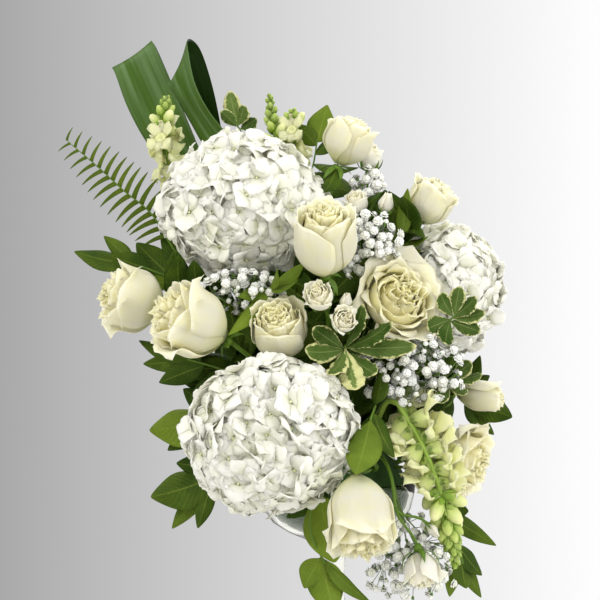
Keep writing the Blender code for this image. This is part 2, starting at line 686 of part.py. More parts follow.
def add_floret(directions, middle, index):
    """Middle, petals and notches of one floret, as directions from the head's centre with their heights."""
    rng = random.Random(index * 7 + 3)
    first, second = two_sides(middle)
    start = rng.random() * math.pi
    level = rng.uniform(-0.015, 0.015)
    directions[tuple(middle)] = 0.935 + level
    for step in range(4):
        angle = start + step * math.pi / 2.0
        out = first * math.cos(angle) + second * math.sin(angle)
        notch = first * math.cos(angle + math.pi / 4.0) + second * math.sin(angle + math.pi / 4.0)
        high = (middle + out * math.tan(FLORET_SPREAD * 0.52)).normalized()
        edge = (middle + out * math.tan(FLORET_SPREAD * 0.92)).normalized()
        low = (middle + notch * math.tan(FLORET_SPREAD * 0.50)).normalized()
        directions[tuple(high)] = 1.03 + level
        directions[tuple(edge)] = 0.985 + level
        directions[tuple(low)] = 0.905 + level


# Stems: ways from the foam that touch nothing

def foam_tree():
    """Search tree of the foam's plain outer shape."""
    return turned(FOAM_PROFILE, FOAM_SEGMENTS).tree()


def route_points(direction, end, axis, sweep, foam):
    """Way of a stem: straight out of the foam, then one smooth sweep to its end."""
    surface = foam.ray_cast(FOAM_CENTRE, direction)[0]
    inner = surface - direction * STEM_DEPTH
    start = surface + direction * STRAIGHT_RUN
    reach = (end - start).length * sweep
    points = [inner, start]
    for step in range(1, ROUTE_STEPS + 1):
        t = step / ROUTE_STEPS
        points.append((1 - t) ** 3 * start + 3 * (1 - t) ** 2 * t * (start + direction * reach)
                      + 3 * (1 - t) * t ** 2 * (end - axis * reach) + t ** 3 * end)
    return points


def find_route(owner, end, axis, radius, foam):
    """First way of a stem from the foam that touches nothing placed before it."""
    end = Vector(end)
    axis = Vector(axis).normalized()
    toward = end - FOAM_CENTRE
    bearing = math.degrees(math.atan2(toward.y, toward.x))
    rise = math.degrees(math.atan2(toward.z, math.hypot(toward.x, toward.y)))
    for sweep in ROUTE_SWEEPS:
        for turn in ROUTE_TURNS:
            for lift in ROUTE_LIFTS:
                up = min(max(rise + lift, LOWEST_RISE), HIGHEST_RISE)
                angle = math.radians(bearing + turn)
                slope = math.radians(up)
                direction = Vector((math.cos(slope) * math.cos(angle), math.cos(slope) * math.sin(angle),
                                    math.sin(slope)))
                points = route_points(direction, end, axis, sweep, foam)
                outside = tube(points[1:], [radius] * (len(points) - 1))
                if not has_room(owner, outside, ignore=("foam_hole",)):
                    continue
                inside = tube(points[:2], [radius] * 2)
                if has_room(owner, inside, room=1.0, ignore=("bowl", "foam")):
                    return points
    print("no free way for", owner)
    return points


def drill(points, radius):
    """Note the hole that a stem stands in."""
    direction = (points[1] - points[0]).normalized()
    holes.append(tube([points[0] - direction, points[1] + direction * 4.0], [radius + HOLE_CLEARANCE] * 2))


def stalk_along(owner, way, radius, taper, foam):
    """Stalk from the foam that runs on along a given way and gets thinner towards its tip."""
    along = (way[1] - way[0]).normalized()
    points = find_route(owner, way[0], along, radius, foam)
    thinner = [radius * (1.0 + (taper - 1.0) * index / (len(way) - 1)) for index in range(len(way))]
    stalk = tube(points[:-1] + way, [radius] * (len(points) - 1) + thinner)
    settle(owner, stalk)
    drill(points, radius)
    return stalk


# Sub-parts

def build_bowl():
    """Footed glass bowl."""
    profile = BOWL_OUTSIDE + BOWL_INSIDE
    shape = turned(profile, BOWL_SEGMENTS)
    settle("bowl", shape)
    fuse("bowl", [shape], "glass")


def build_foam():
    """Block of wet foam, domed above the rim, with a plain hole for every stem."""
    block = bpy.data.objects.new("block", make_mesh("block", turned(FOAM_PROFILE, FOAM_SEGMENTS)))
    bpy.context.scene.collection.objects.link(block)
    cutters = []
    for index, hole in enumerate(holes):
        cutter = bpy.data.objects.new(f"hole_{index}", make_mesh("hole", hole))
        cutter.hide_render = True
        cutter.display_type = "WIRE"
        cutters.append(cutter)
    finish("foam", keep_main_body(combine(block, cutters, "DIFFERENCE", "EXACT")), "foam")


def hydrangea_seat(name):
    """Place and direction where the stalk meets the head."""
    centre, halves, axis = HYDRANGEAS[name]
    axis = Vector(axis).normalized()
    down = -axis * math.cos(STALK_SEAT)
    place = Vector(centre) + Vector([down[i] * halves[i] for i in range(3)])
    facing = Vector([axis[i] / halves[i] for i in range(3)]).normalized()
    return place, facing


def build_hydrangea_heads():
    """The three heads, placed first."""
    for name in HYDRANGEAS:
        shape = hydrangea_shape(name)
        settle(f"{name}_head", shape, bulky=True)
        fuse(f"{name}_head", [shape], "hydrangea")


def build_rose_blooms():
    """The ten blooms."""
    for number, (name, (base, axis, length, radius, flare)) in enumerate(ROSES.items()):
        shapes = rose_bloom(base, axis, length, radius, flare, ROSE_LAYERS, number * 0.7)
        for index, shape in enumerate(shapes):
            settle(name, shape, bulky=index == 0)
        fuse(name, shapes, "rose")


def build_hydrangea_stalks(foam):
    """A stalk under each head."""
    for name in HYDRANGEAS:
        owner = f"{name}_stalk"
        seat, facing = hydrangea_seat(name)
        points = find_route(owner, seat - facing * STALK_NECK, facing, HYDRANGEA_STALK, foam)
        shape = tube(points + [seat - facing * GAP], [HYDRANGEA_STALK] * len(points) + [HYDRANGEA_STALK * 1.4])
        settle(owner, shape)
        drill(points, HYDRANGEA_STALK)
        fuse(owner, [shape], "stem")


def build_rose_stalks(foam):
    """A stem under each rose, with its calyx and sepals bent back."""
    for name, (base, axis, *_) in ROSES.items():
        owner = f"{name}_stem"
        axis = Vector(axis).normalized()
        top = Vector(base) - axis * GAP
        points = find_route(owner, top - axis * CALYX_LENGTH, axis, ROSE_STALK, foam)
        radii = [ROSE_STALK] * len(points) + [CALYX_RADIUS]
        stalk = tube(points + [top], radii)
        shapes = [stalk]
        first, second = two_sides(axis)
        for index in range(SEPALS):
            angle = 2.0 * math.pi * index / SEPALS
            out = first * math.cos(angle) + second * math.sin(angle)
            foot = top - axis * 3.0
            tip = top - axis * (9.0 + index % 2 * 3.0) + out * 14.0
            sepal = leaf(foot, tip, 5.0, 1, 0.0)
            if has_room(owner, sepal):
                shapes.append(sepal)
        for shape in shapes:
            settle(owner, shape)
        drill(points, ROSE_STALK)
        fuse(owner, shapes, "stem")


def bent(start, start_way, end, end_way, steps=3):
    """Smooth way between two places that leaves and arrives along given directions."""
    reach = (end - start).length * 0.4
    points = []
    for step in range(steps + 1):
        t = step / steps
        points.append((1 - t) ** 3 * start + 3 * (1 - t) ** 2 * t * (start + start_way * reach)
                      + 3 * (1 - t) * t ** 2 * (end - end_way * reach) + t ** 3 * end)
    return points


def build_spray_roses(foam):
    """Sprays of small roses and buds on forked stems."""
    for name, (way, blooms) in SPRAY_ROSES.items():
        start = Vector(way[0])
        fork = Vector(way[1])
        along = (fork - start).normalized()
        shapes = []
        for number, (base, axis, length, radius) in enumerate(blooms):
            axis = Vector(axis).normalized()
            if radius > 9:
                shapes += rose_bloom(base, axis, length, radius, 0.45, [4], number * 0.9, sides=4)
            else:
                shapes.append(spindle(Vector(base), Vector(base) + axis * length, radius, 5, 0.42))
                shapes += spray_sepals(Vector(base), axis, radius)
            branch = bent(fork, along, Vector(base), axis)
            shapes.append(tube(branch + [Vector(base) + axis * 2.5], [1.3] * 4 + [2.0], 3))
        for shape in shapes:
            settle(name, shape)
        stalk = stalk_along(name, [start, fork, fork + along * 1.5], 1.7, 0.8, foam)
        fuse(name, [stalk] + shapes, "spray_rose")


def spray_sepals(base, axis, radius):
    """Sepals that clasp a small bloom's base."""
    first, second = two_sides(axis)
    sepals = []
    for index in range(3):
        angle = 2.0 * math.pi * index / 3.0 + 0.4
        out = first * math.cos(angle) + second * math.sin(angle)
        sepals.append(leaf(base, base + axis * radius * 0.4 + out * radius * 1.02, 4.0, 1, 0.0))
    return sepals


def floret(base, direction, upward, length):
    """Snapdragon floret: a tube that widens to two lips."""
    side = direction.cross(upward).normalized()
    upward = side.cross(direction).normalized()
    rings = [(0.50, 0.21, 0.02), (0.98, 0.46, 0.0)]
    verts = [base]
    for along, radius, drop in rings:
        for step in range(5):
            angle = 2.0 * math.pi * step / 5.0 + math.pi / 2.0
            lift = radius * math.sin(angle)
            slant = 0.16 * math.sin(angle) if along > 0.9 else 0.0
            verts.append(base + direction * length * (along - slant) + upward * length * (lift - drop)
                         + side * length * radius * math.cos(angle))
    verts.append(base + direction * length * 0.80)
    faces = []
    for step in range(5):
        following = (step + 1) % 5
        faces.append((0, 1 + following, 1 + step))
        faces += [(1 + step, 1 + following, 6 + following), (1 + step, 6 + following, 6 + step)]
        faces.append((6 + step, 6 + following, 11))
    return Shape(verts, faces)


def build_snapdragons(foam):
    """Spikes of open florets below and buds above."""
    for name, spikes in SNAPDRAGONS.items():
        shapes = []
        for number, (places, florets, buds, largest) in enumerate(spikes):
            way = smooth_way(places, 2)
            if number == 0:
                shapes.append(stalk_along(name, way, SPIKE_STALK, 0.4, foam))
            else:
                shapes.append(tube(way, [1.6 - 0.8 * index / (len(way) - 1) for index in range(len(way))]))
            total = florets + buds
            for index in range(total):
                share = 0.10 + 0.90 * (index / (total - 1)) ** 0.9
                spot, direction = place_along(way, share)
                first, second = two_sides(direction)
                angle = index * GOLDEN_ANGLE + number
                out = first * math.cos(angle) + second * math.sin(angle)
                size = largest * (1.0 - 0.55 * share)
                if index < florets:
                    heading = (out + direction * 0.35).normalized()
                    body = floret(spot, heading, direction, size)
                else:
                    lean = 0.5 + 0.9 * share
                    heading = (out + direction * lean).normalized()
                    body = spindle(spot, spot + heading * size * 0.75, size * 0.19, 4, 0.6)
                if has_room(name, body):
                    shapes.append(body)
        for shape in shapes[1:]:
            settle(name, shape)
        fuse(name, shapes, "snapdragon")


def build_aspidistras(foam):
    """Broad blades folded over at the top, on their own stalks."""
    for name, rows in ASPIDISTRAS.items():
        centres = [Vector(row[0]) for row in rows]
        centres = [centres[0] - (centres[1] - centres[0]) * 0.5] + centres
        centres.append(centres[-1] + (centres[-1] - centres[-2]) * 0.7)
        sides = [Vector(row[1]).normalized() for row in rows]
        sides = [sides[0]] + sides + [sides[-1]]
        halves = [0.0] + [row[2] for row in rows] + [0.0]
        normals = []
        for index, centre in enumerate(centres):
            before = centres[max(index - 1, 0)]
            after = centres[min(index + 1, len(centres) - 1)]
            normals.append((after - before).cross(sides[index]).normalized())
        lefts = [centre - side * half for centre, side, half in zip(centres, sides, halves)]
        rights = [centre + side * half for centre, side, half in zip(centres, sides, halves)]
        blade = grid_blade(centres, lefts, rights, normals, ASPIDISTRA_THICKNESS)
        settle(name, blade)
        inner_end = centres[1].lerp(centres[2], 0.4)
        stalk = stalk_along(name, [centres[0], centres[1], inner_end], 1.8, 0.3, foam)
        fuse(name, [stalk, blade], "aspidistra")


def build_fern(foam):
    """Sword fern frond: one thin blade, cut to its rib into narrow leaflets in pairs."""
    name = "fern"
    way = smooth_way(FERN_WAY, 2)
    frond = fern_blade(way)
    stalk = stalk_along(name, way[:3], 1.3, 0.7, foam)
    settle(name, frond)
    fuse(name, [stalk, frond], "fern")


def fern_blade(way):
    """Frond's blade: its rib, and on each side a pointed leaflet and a gap for every pair."""
    verts = []
    faces = []
    before = None
    for index in range(FERN_PAIRS + 1):
        share = FERN_START + (1.0 - FERN_START) * index / FERN_PAIRS
        step = (1.0 - FERN_START) / FERN_PAIRS
        spot, along = place_along(way, share)
        end, _ = place_along(way, share + step * FERN_FILL)
        across = along.cross(Vector((0.0, -1.0, 0.0))).normalized()
        lift = across.cross(along).normalized() * FERN_RIB * (1.0 - 0.5 * share)
        size = FERN_PINNA * min(1.0, 0.8 + share) * (1.0 - 0.45 * share ** 3)
        start = len(verts)
        verts += [spot + lift, spot - lift, end + lift, end - lift]
        for hand in (-1.0, 1.0):
            verts += [spot + across * hand * 1.4, end + across * hand * 1.2]
            verts.append(spot + (across * hand * 0.80 + along * 0.58) * size)
        if index == FERN_PAIRS:
            verts = verts[:start] + [spot + along * 6.0]
            faces += fern_tip(before, start)
            break
        for side, (foot, heel, tip) in enumerate(((4, 5, 6), (7, 8, 9))):
            for low in (0, 1):
                strip = [(low, tip, foot), (low, low + 2, tip), (low + 2, heel, tip)]
                faces += [tuple(start + corner for corner in face) for face in strip]
                if before is not None:
                    faces += [(before + low + 2, start + low, start + foot),
                              (before + low + 2, start + foot, before + heel)]
        if before is None:
            faces += [(start, start + 4, start + 1), (start, start + 1, start + 7)]
        before = start
    return Shape(verts, faces)


def fern_tip(before, tip):
    """Faces that close the frond to its last point."""
    faces = []
    for low in (0, 1):
        for heel in (5, 8):
            faces.append((before + low + 2, tip, before + heel))
    return faces


def sprig_leaf(owner, base, tip, width, kind, number):
    """First pose of a leaf that touches nothing placed before it, or none."""
    rng = random.Random(number * 13 + 5)
    roll = rng.uniform(-0.5, 0.5)
    for reach in TIP_REACHES:
        for shift in TIP_SHIFTS:
            end = base + (tip + Vector(shift) - base) * reach
            body = leaf(base, end, width * (0.5 + 0.5 * reach), LEAF_ROWS, roll, LEAF_WAVES[kind])
            if has_room(owner, body):
                return body
    return None


def build_sprigs(foam):
    """Leafy twigs, each fused into one piece."""
    for name, (kind, places, leaves) in SPRIGS.items():
        radius = TWIG_RADIUS[kind]
        way = smooth_way(places, 2)
        stalk = stalk_along(name, way, radius, 0.55, foam)
        shapes = [stalk]
        for number, (share, tip, width) in enumerate(leaves):
            base, _ = place_along(way, share)
            body = sprig_leaf(name, base, Vector(tip), width, kind, number)
            if body is None:
                print(name, "has no room for leaf", number)
                continue
            settle(name, body)
            shapes.append(body)
        fuse(name, shapes, kind)


def breath_flower(node, place):
    """Small round double flower on its thread of a stalk."""
    direction = (place - node).normalized()
    first, second = two_sides(direction)
    verts = [node]
    for along, radius in ((-BREATH_FLOWER * 0.75, 0.55), (0.0, BREATH_FLOWER)):
        for side in range(4):
            angle = math.pi * side / 2.0
            verts.append(place + direction * along
                         + (first * math.cos(angle) + second * math.sin(angle)) * radius)
    verts.append(place + direction * BREATH_FLOWER * 0.75)
    faces = []
    for side in range(4):
        a = 1 + side
        b = 1 + (side + 1) % 4
        faces += [(0, b, a), (a, b, b + 4), (a, b + 4, a + 4), (a + 4, b + 4, 9)]
    return Shape(verts, faces)


def build_babys_breath(foam):
    """Clouds of small white flowers on forked stalks."""
    for number, (name, (root, middle, halves, flowers)) in enumerate(BABYS_BREATH.items()):
        rng = random.Random(number * 31 + 11)
        root = Vector(root)
        middle = Vector(middle)
        along = (middle - root).normalized()
        points = find_route(name, root, along, BREATH_STALK, foam)
        stalk = tube(points + [root + along * 1.5], [BREATH_STALK] * (len(points) + 1), 4)
        shapes = [stalk]
        settle(name, stalk)
        forks = []
        for index in range(BREATH_TRIES):
            if len(shapes) > BREATH_BRANCHES:
                break
            angle = index * GOLDEN_ANGLE
            out = math.sqrt((index + 0.5) / BREATH_TRIES) * 0.75
            fork = middle + Vector((halves[0] * out * math.cos(angle), halves[1] * -0.2,
                                    halves[2] * out * math.sin(angle)))
            elbow = root.lerp(fork, 0.5) + along * 2.0
            branch = tube([root, elbow, fork], [0.9, 0.85, 0.75], 3)
            if has_room(name, branch):
                forks += [elbow.lerp(fork, share) for share in (0.2, 0.55, 0.9)]
                shapes.append(branch)
                settle(name, branch)
        made = []
        for _ in range(flowers * 14):
            if len(made) == flowers:
                break
            spot = Vector([rng.uniform(-1.0, 1.0) for _ in range(3)])
            if not 0.35 < spot.length < 1.0:
                continue
            place = middle + Vector([spot[axis] * halves[axis] for axis in range(3)])
            fork = min(forks, key=lambda near: (near - place).length)
            if (place - fork).length < BREATH_PEDICEL:
                continue
            if any((place - other).length < BREATH_SPACING for other in made):
                continue
            body = breath_flower(fork, place)
            if has_room(name, body):
                made.append(place)
                shapes.append(body)
                settle(name, body)
        drill(points, BREATH_STALK)
        fuse(name, shapes, "breath")


def main():
    """Place what is largest first, then let the rest find room round it."""
    reset_scene()
    foam = foam_tree()
    build_bowl()
    settle("foam", turned(FOAM_PROFILE, FOAM_SEGMENTS))
    build_hydrangea_heads()
    build_rose_blooms()
    build_hydrangea_stalks(foam)
    build_rose_stalks(foam)
    build_spray_roses(foam)
    build_snapdragons(foam)
    build_aspidistras(foam)
    build_fern(foam)
    build_sprigs(foam)
    build_babys_breath(foam)
    build_foam()


main()
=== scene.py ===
"""Looks of a white and cream flower arrangement that stands in a footed clear glass bowl.

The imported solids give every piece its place. Places and sizes in the tables are in millimetres, as in the
part's source: x to the viewer's right, y away from the viewer, z up from the table. Meshes are in metres.
"""

import math
import random

import bpy
import numpy as np
from bpy.props import FloatProperty, FloatVectorProperty, IntProperty, PointerProperty
from mathutils import Euler, Matrix, Vector
from mathutils.kdtree import KDTree


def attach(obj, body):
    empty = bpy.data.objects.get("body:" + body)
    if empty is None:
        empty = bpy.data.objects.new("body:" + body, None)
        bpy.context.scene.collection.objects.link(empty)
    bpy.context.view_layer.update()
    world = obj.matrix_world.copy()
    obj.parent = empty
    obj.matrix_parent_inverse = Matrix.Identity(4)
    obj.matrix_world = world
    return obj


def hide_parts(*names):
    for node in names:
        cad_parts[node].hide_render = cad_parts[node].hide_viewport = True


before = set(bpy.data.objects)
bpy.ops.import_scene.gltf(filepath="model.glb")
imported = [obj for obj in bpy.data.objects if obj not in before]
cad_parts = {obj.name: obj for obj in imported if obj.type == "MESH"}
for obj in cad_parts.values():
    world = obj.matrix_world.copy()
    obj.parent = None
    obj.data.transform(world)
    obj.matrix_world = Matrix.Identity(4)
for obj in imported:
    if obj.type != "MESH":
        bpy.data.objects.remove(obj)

bl_info = {
    "name": "White and cream bouquet",
    "version": (1, 0, 0),
    "blender": (4, 5, 0),
    "location": "View3D > Sidebar > Bouquet",
    "description": "Adds the finished looks of a flower arrangement in a clear bowl, piece by piece",
    "category": "Object",
}

MM = 0.001
UP = Vector((0.0, 0.0, 1.0))
TO_VIEWER = Vector((0.0, -1.0, 0.0))
GOLDEN_ANGLE = math.radians(137.508)
FOAM_CENTRE = Vector((0.0, 0.0, 138.0))
ANY_ANGLE = (0.0, 6.28)

# How a packed stem is followed: corners of a ring, how near its end it may turn back, how near it is done
STEM_SIDES = 4
STEM_END_NEAR = 12.0
STEM_END_REACHED = 1.0

# Share by which a petal or leaf is thinner at its very edge, and UV units to a millimetre of a turned body
EDGE_THINNING = 0.65
TURNED_UV = 0.01

# Thickness of a rose's sepals and a snapdragon's lobes, and of other small parts of florets and leaflets
SEPAL_THICKNESS = 0.6
FLORET_THICKNESS = 0.5

# Camera: where the photograph was taken from, as far as its outlines tell
IMAGE_WIDTH_MM = 528.0
CAMERA_DISTANCE = 1700.0
CAMERA_AIM = (-32.6, 299.2)
SENSOR_MM = 36.0

# Lights: place and size in metres, power in watts
LIGHTS = {
    "key": ((-0.9, -1.3, 1.5), 1.2, 13.0),
    "fill": ((1.3, -1.1, 0.6), 1.2, 12.0),
    "rim": ((0.5, 1.2, 1.4), 0.9, 14.0),
}
LIGHT_AIM = Vector((0.0, 0.0, 0.28))

# Backdrop colours at the left and right of the picture, and the light room that the bouquet stands in, of
# which smooth surfaces mirror only a part
BACKDROP = ("a8a8a8", "ffffff")
BACKDROP_STRENGTH = 1.0
ROOM = "fbf9f4"
ROOM_STRENGTH = 1.04
MIRROR_DIMMING = -0.80
TABLE_THICKNESS = 6.0
TABLE_BEVEL = 0.6
TABLE_STEPS = 96

# Bowl and foam: outlines from the middle of the foot out, as (radius, height); the foot is hollow below
BOWL_OUTSIDE = [
    (0.0, 0.5), (52.0, 0.5), (55.5, 0.0), (57.0, 0.0), (58.0, 0.8), (58.0, 1.7), (56.8, 2.5), (36.0, 4.8),
    (15.0, 8.5), (9.6, 13.0), (7.5, 20.0), (6.7, 34.0), (6.2, 48.0), (6.5, 64.0), (7.4, 73.0), (10.5, 80.5),
    (26.0, 88.5), (44.0, 96.0), (57.0, 104.5), (64.5, 116.0), (68.0, 130.0), (68.9, 138.6), (68.4, 139.7),
]
BOWL_INSIDE = [
    (67.4, 140.0), (66.3, 139.6), (65.9, 138.4), (65.0, 130.5), (61.6, 117.5), (55.0, 107.5),
    (42.5, 99.0), (25.0, 91.8), (0.0, 88.0),
]
FOAM_OUTLINE = [
    (0.0, 88.4), (24.7, 92.2), (41.8, 99.6), (54.2, 107.8), (60.8, 118.0), (64.0, 130.8), (63.5, 138.0),
    (55.0, 153.0), (44.0, 170.0), (30.0, 175.5), (0.0, 178.0),
]
ROUND_STEPS = 72

# Heads of hydrangea: centre, half sizes, axis from the stalk outwards. The radii of every stalk are those at
# the foam and at its other end
HYDRANGEAS = {
    "hydrangea_left": ((-82, -15, 380), (72, 57, 63), (-0.38, -0.05, 0.92)),
    "hydrangea_low": ((-56, -104, 187), (73, 55, 65), (-0.38, -0.80, 0.46)),
    "hydrangea_right": ((95, 24, 308), (52, 48, 58), (0.50, 0.15, 0.85)),
}
HYDRANGEA_STALK = (3.2, 3.52)
SEPAL_LENGTH = 17.5
SEPAL_WIDTH = 20.0

# A head of florets: cone round the stalk that stays free, kinds of floret, half width times half height of a
# large head, each layer's share of the florets and how far out it lies, and the size of the pale middle
STALK_OPENING = math.radians(16.0)
FLORET_KINDS = 7
LARGE_HEAD = 72.0 * 63.0
HEAD_LAYERS = [(1.0, 0.90), (0.8, 0.86)]
HEAD_MIDDLE = 0.84

# How the florets of a head vary: how far out they lie, their tilt and their size
HEAD_LIFT = (0.95, 1.02)
HEAD_TILT = 0.31
HEAD_SIZES = (0.84, 1.08)

# Roses: where the bloom sits on its calyx, axis, length, radius, flare from closed 0 to blown 1
ROSES = {
    "rose_far_left": ((-150, -30, 292), (-0.90, -0.25, 0.27), 58, 29, 0.45),
    "rose_left": ((-96, -72, 266), (-0.84, -0.36, 0.42), 69, 29, 0.55),
    "rose_upright": ((-11, -70, 321), (-0.04, -0.62, 0.78), 70, 28, 0.15),
    "rose_centre": ((-47, -58, 256), (-0.12, -0.74, 0.66), 52, 25, 0.15),
    "rose_open": ((43, -38, 292), (0.36, -0.86, 0.36), 42, 33, 0.80),
    "rose_top": ((1, 0, 418), (0.38, -0.18, 0.90), 44, 22, 0.15),
    "rose_upper_right": ((71, 2, 367), (0.52, -0.12, 0.84), 43, 21, 0.30),
    "rose_right_bud": ((104, -8, 217), (0.97, -0.15, -0.10), 43, 14.5, 0.15),
    "rose_hanging": ((13, -122, 157), (0.10, -0.45, -0.89), 73, 28, 0.35),
    "rose_lower_right": ((88, -16, 166), (0.80, -0.42, -0.26), 46, 30, 0.70),
}
ROSE_STALK = (2.415, 2.07)
CALYX_RADIUS = 4.4
CALYX_LENGTH = 7.0
CALYX_SEPAL = 19.0
CALYX_SEPALS = 5
SMALL_ROSE_RADIUS = 16.0

# Spray roses: the way of the main stem, then each bloom's seat, axis, length and radius
SPRAY_ROSES = {
    "spray_rose_centre": (
        [(-2, -52, 258), (-3, -64, 270)],
        [((-14, -86, 296), (-0.20, -0.80, 0.55), 24, 12.5), ((2, -91, 279), (0.20, -0.90, 0.30), 22, 11),
         ((5, -84, 292), (0.15, -0.45, 0.88), 15, 6)],
    ),
    "spray_rose_upper": (
        [(30, 4, 330), (28, 4, 352)],
        [((29, 27, 415), (0.10, -0.20, 0.97), 24, 11.5), ((18, -14, 374), (-0.15, -0.50, 0.85), 22, 11),
         ((40, -20, 374), (0.25, -0.30, 0.92), 20, 8)],
    ),
    "spray_rose_low": (
        [(44, -82, 150), (47, -88, 126)],
        [((66, -94, 90), (0.12, -0.28, -0.95), 31, 15.5), ((34, -86, 112), (-0.15, 0.10, -0.98), 13, 4.5),
         ((74, -88, 112), (0.60, -0.10, -0.80), 14, 5)],
    ),
}
SMALLEST_BLOOM = 9.0
SPRAY_BUD_PETALS = 5
SPRAY_STALK = (1.8, 1.5)
SPRAY_BRANCH = (1.2, 1.3)
SPRAY_FLARE = 0.42

# Snapdragons: each spike's way from its foot to its tip, open florets, buds, how far up the open ones go,
# and the largest floret
SNAPDRAGONS = {
    "snapdragon_left": [
        ([(-122, 54, 378), (-144, 46, 402), (-154, 40, 440), (-153, 38, 480)], 11, 13, 0.76, 26),
    ],
    "snapdragon_top": [
        ([(-44, 44, 400), (-50, 42, 425), (-56, 39, 452), (-60, 36, 481)], 4, 18, 0.35, 26),
        ([(-46, 44, 408), (-38, 42, 436), (-39, 36, 468)], 7, 6, 0.75, 24),
    ],
    "snapdragon_right": [
        ([(50, -72, 212), (69, -78, 180), (83, -79, 146), (91, -78, 112), (98, -77, 78)], 14, 30, 0.52, 34),
    ],
}
HANGING_SPIKE = "snapdragon_right"
SPIKE_STALK = (2.2, 2.5)
SPIKE_TOP = (2.5, 1.0)
SIDE_SPIKE = (1.7, 0.7)

# Share of a spike's buds that are ripe, and the number of the bract among its florets and buds
RIPE_BUDS = 0.25
BRACT = 6

# Snapdragon floret and bud as modelled, z from the calyx to the mouth: their sizes, the outlines of the tube
# and of the raised throat, then each lobe's foot, way out, length, width and how far it rolls back
FLORET_SIZE = 25.0
BUD_SIZE = 22.0
BUD_LENGTH = 18.0
FLORET_TUBE = [
    (0.0, 0.0), (2.2, 0.4), (4.3, 4.0), (5.6, 8.5), (6.0, 12.0), (5.3, 13.2), (3.4, 12.0), (0.0, 10.0),
]
FLORET_PALATE = [(0.0, -1.6), (2.6, -1.0), (3.6, 0.0), (2.4, 1.0), (0.0, 1.5)]
FLORET_LOBES = [
    ((-2.4, 4.0, 10.5), (-0.45, 1.0, 0.0), 14.5, 19.0, 0.35),
    ((2.4, 4.0, 10.5), (0.45, 1.0, 0.0), 14.5, 19.0, 0.35),
    ((-3.0, -3.2, 11.0), (-1.0, -0.85, 0.0), 12.5, 16.0, 0.85),
    ((3.0, -3.2, 11.0), (1.0, -0.85, 0.0), 12.5, 16.0, 0.85),
    ((0.0, -4.2, 11.5), (0.0, -1.0, 0.0), 11.0, 14.0, 0.95),
]

# Buds from ripe to green: seed, how pale, how far the sepals reach
BUD_STAGES = [(4, 0.62, 8.0), (5, 0.34, 12.0), (6, 0.18, 15.0)]

# Broad folded blades: centre line, way across and half width of each row, from the stalk over the fold
ASPIDISTRAS = {
    "aspidistra_left": [
        ((-97, 84, 396), (0.80, 0.10, 0.40), 5), ((-131, 82, 416), (0.85, 0.05, 0.35), 16),
        ((-153, 76, 450), (0.90, 0.00, 0.32), 21), ((-170, 70, 486), (0.87, 0.00, 0.44), 23),
        ((-183, 65, 518), (0.83, 0.00, 0.56), 22), ((-186, 71, 523), (0.83, 0.00, 0.56), 22),
        ((-181, 79, 517), (0.83, 0.00, 0.56), 21), ((-166, 90, 486), (0.86, 0.00, 0.44), 19),
        ((-142, 98, 444), (0.86, 0.00, 0.35), 13),
    ],
    "aspidistra_right": [
        ((-84, 66, 418), (0.75, 0.10, 0.55), 5), ((-104, 56, 438), (0.75, -0.30, 0.45), 12),
        ((-122, 48, 464), (0.62, -0.72, 0.22), 15), ((-133, 44, 484), (0.44, -0.80, 0.36), 18),
        ((-139, 47, 501), (0.40, -0.62, 0.62), 20), ((-142, 52, 513), (0.38, -0.20, 0.90), 21),
        ((-139, 60, 518), (0.42, 0.00, 0.91), 20), ((-132, 67, 511), (0.52, 0.05, 0.85), 18),
        ((-123, 74, 482), (0.72, 0.05, 0.68), 15), ((-113, 80, 450), (0.80, 0.05, 0.55), 10),
    ],
}
ASPIDISTRA_THICKNESS = 0.9
ASPIDISTRA_STALK = (1.9, 0.7)

FERN_WAY = [(-150, 22, 352), (-166, 22, 377), (-190, 22, 397), (-213, 22, 418), (-240, 22, 441)]
FERN_PAIRS = 15
FERN_PINNA = 27.0
FERN_RIB = (1.3, 0.4)
FERN_START = 0.06

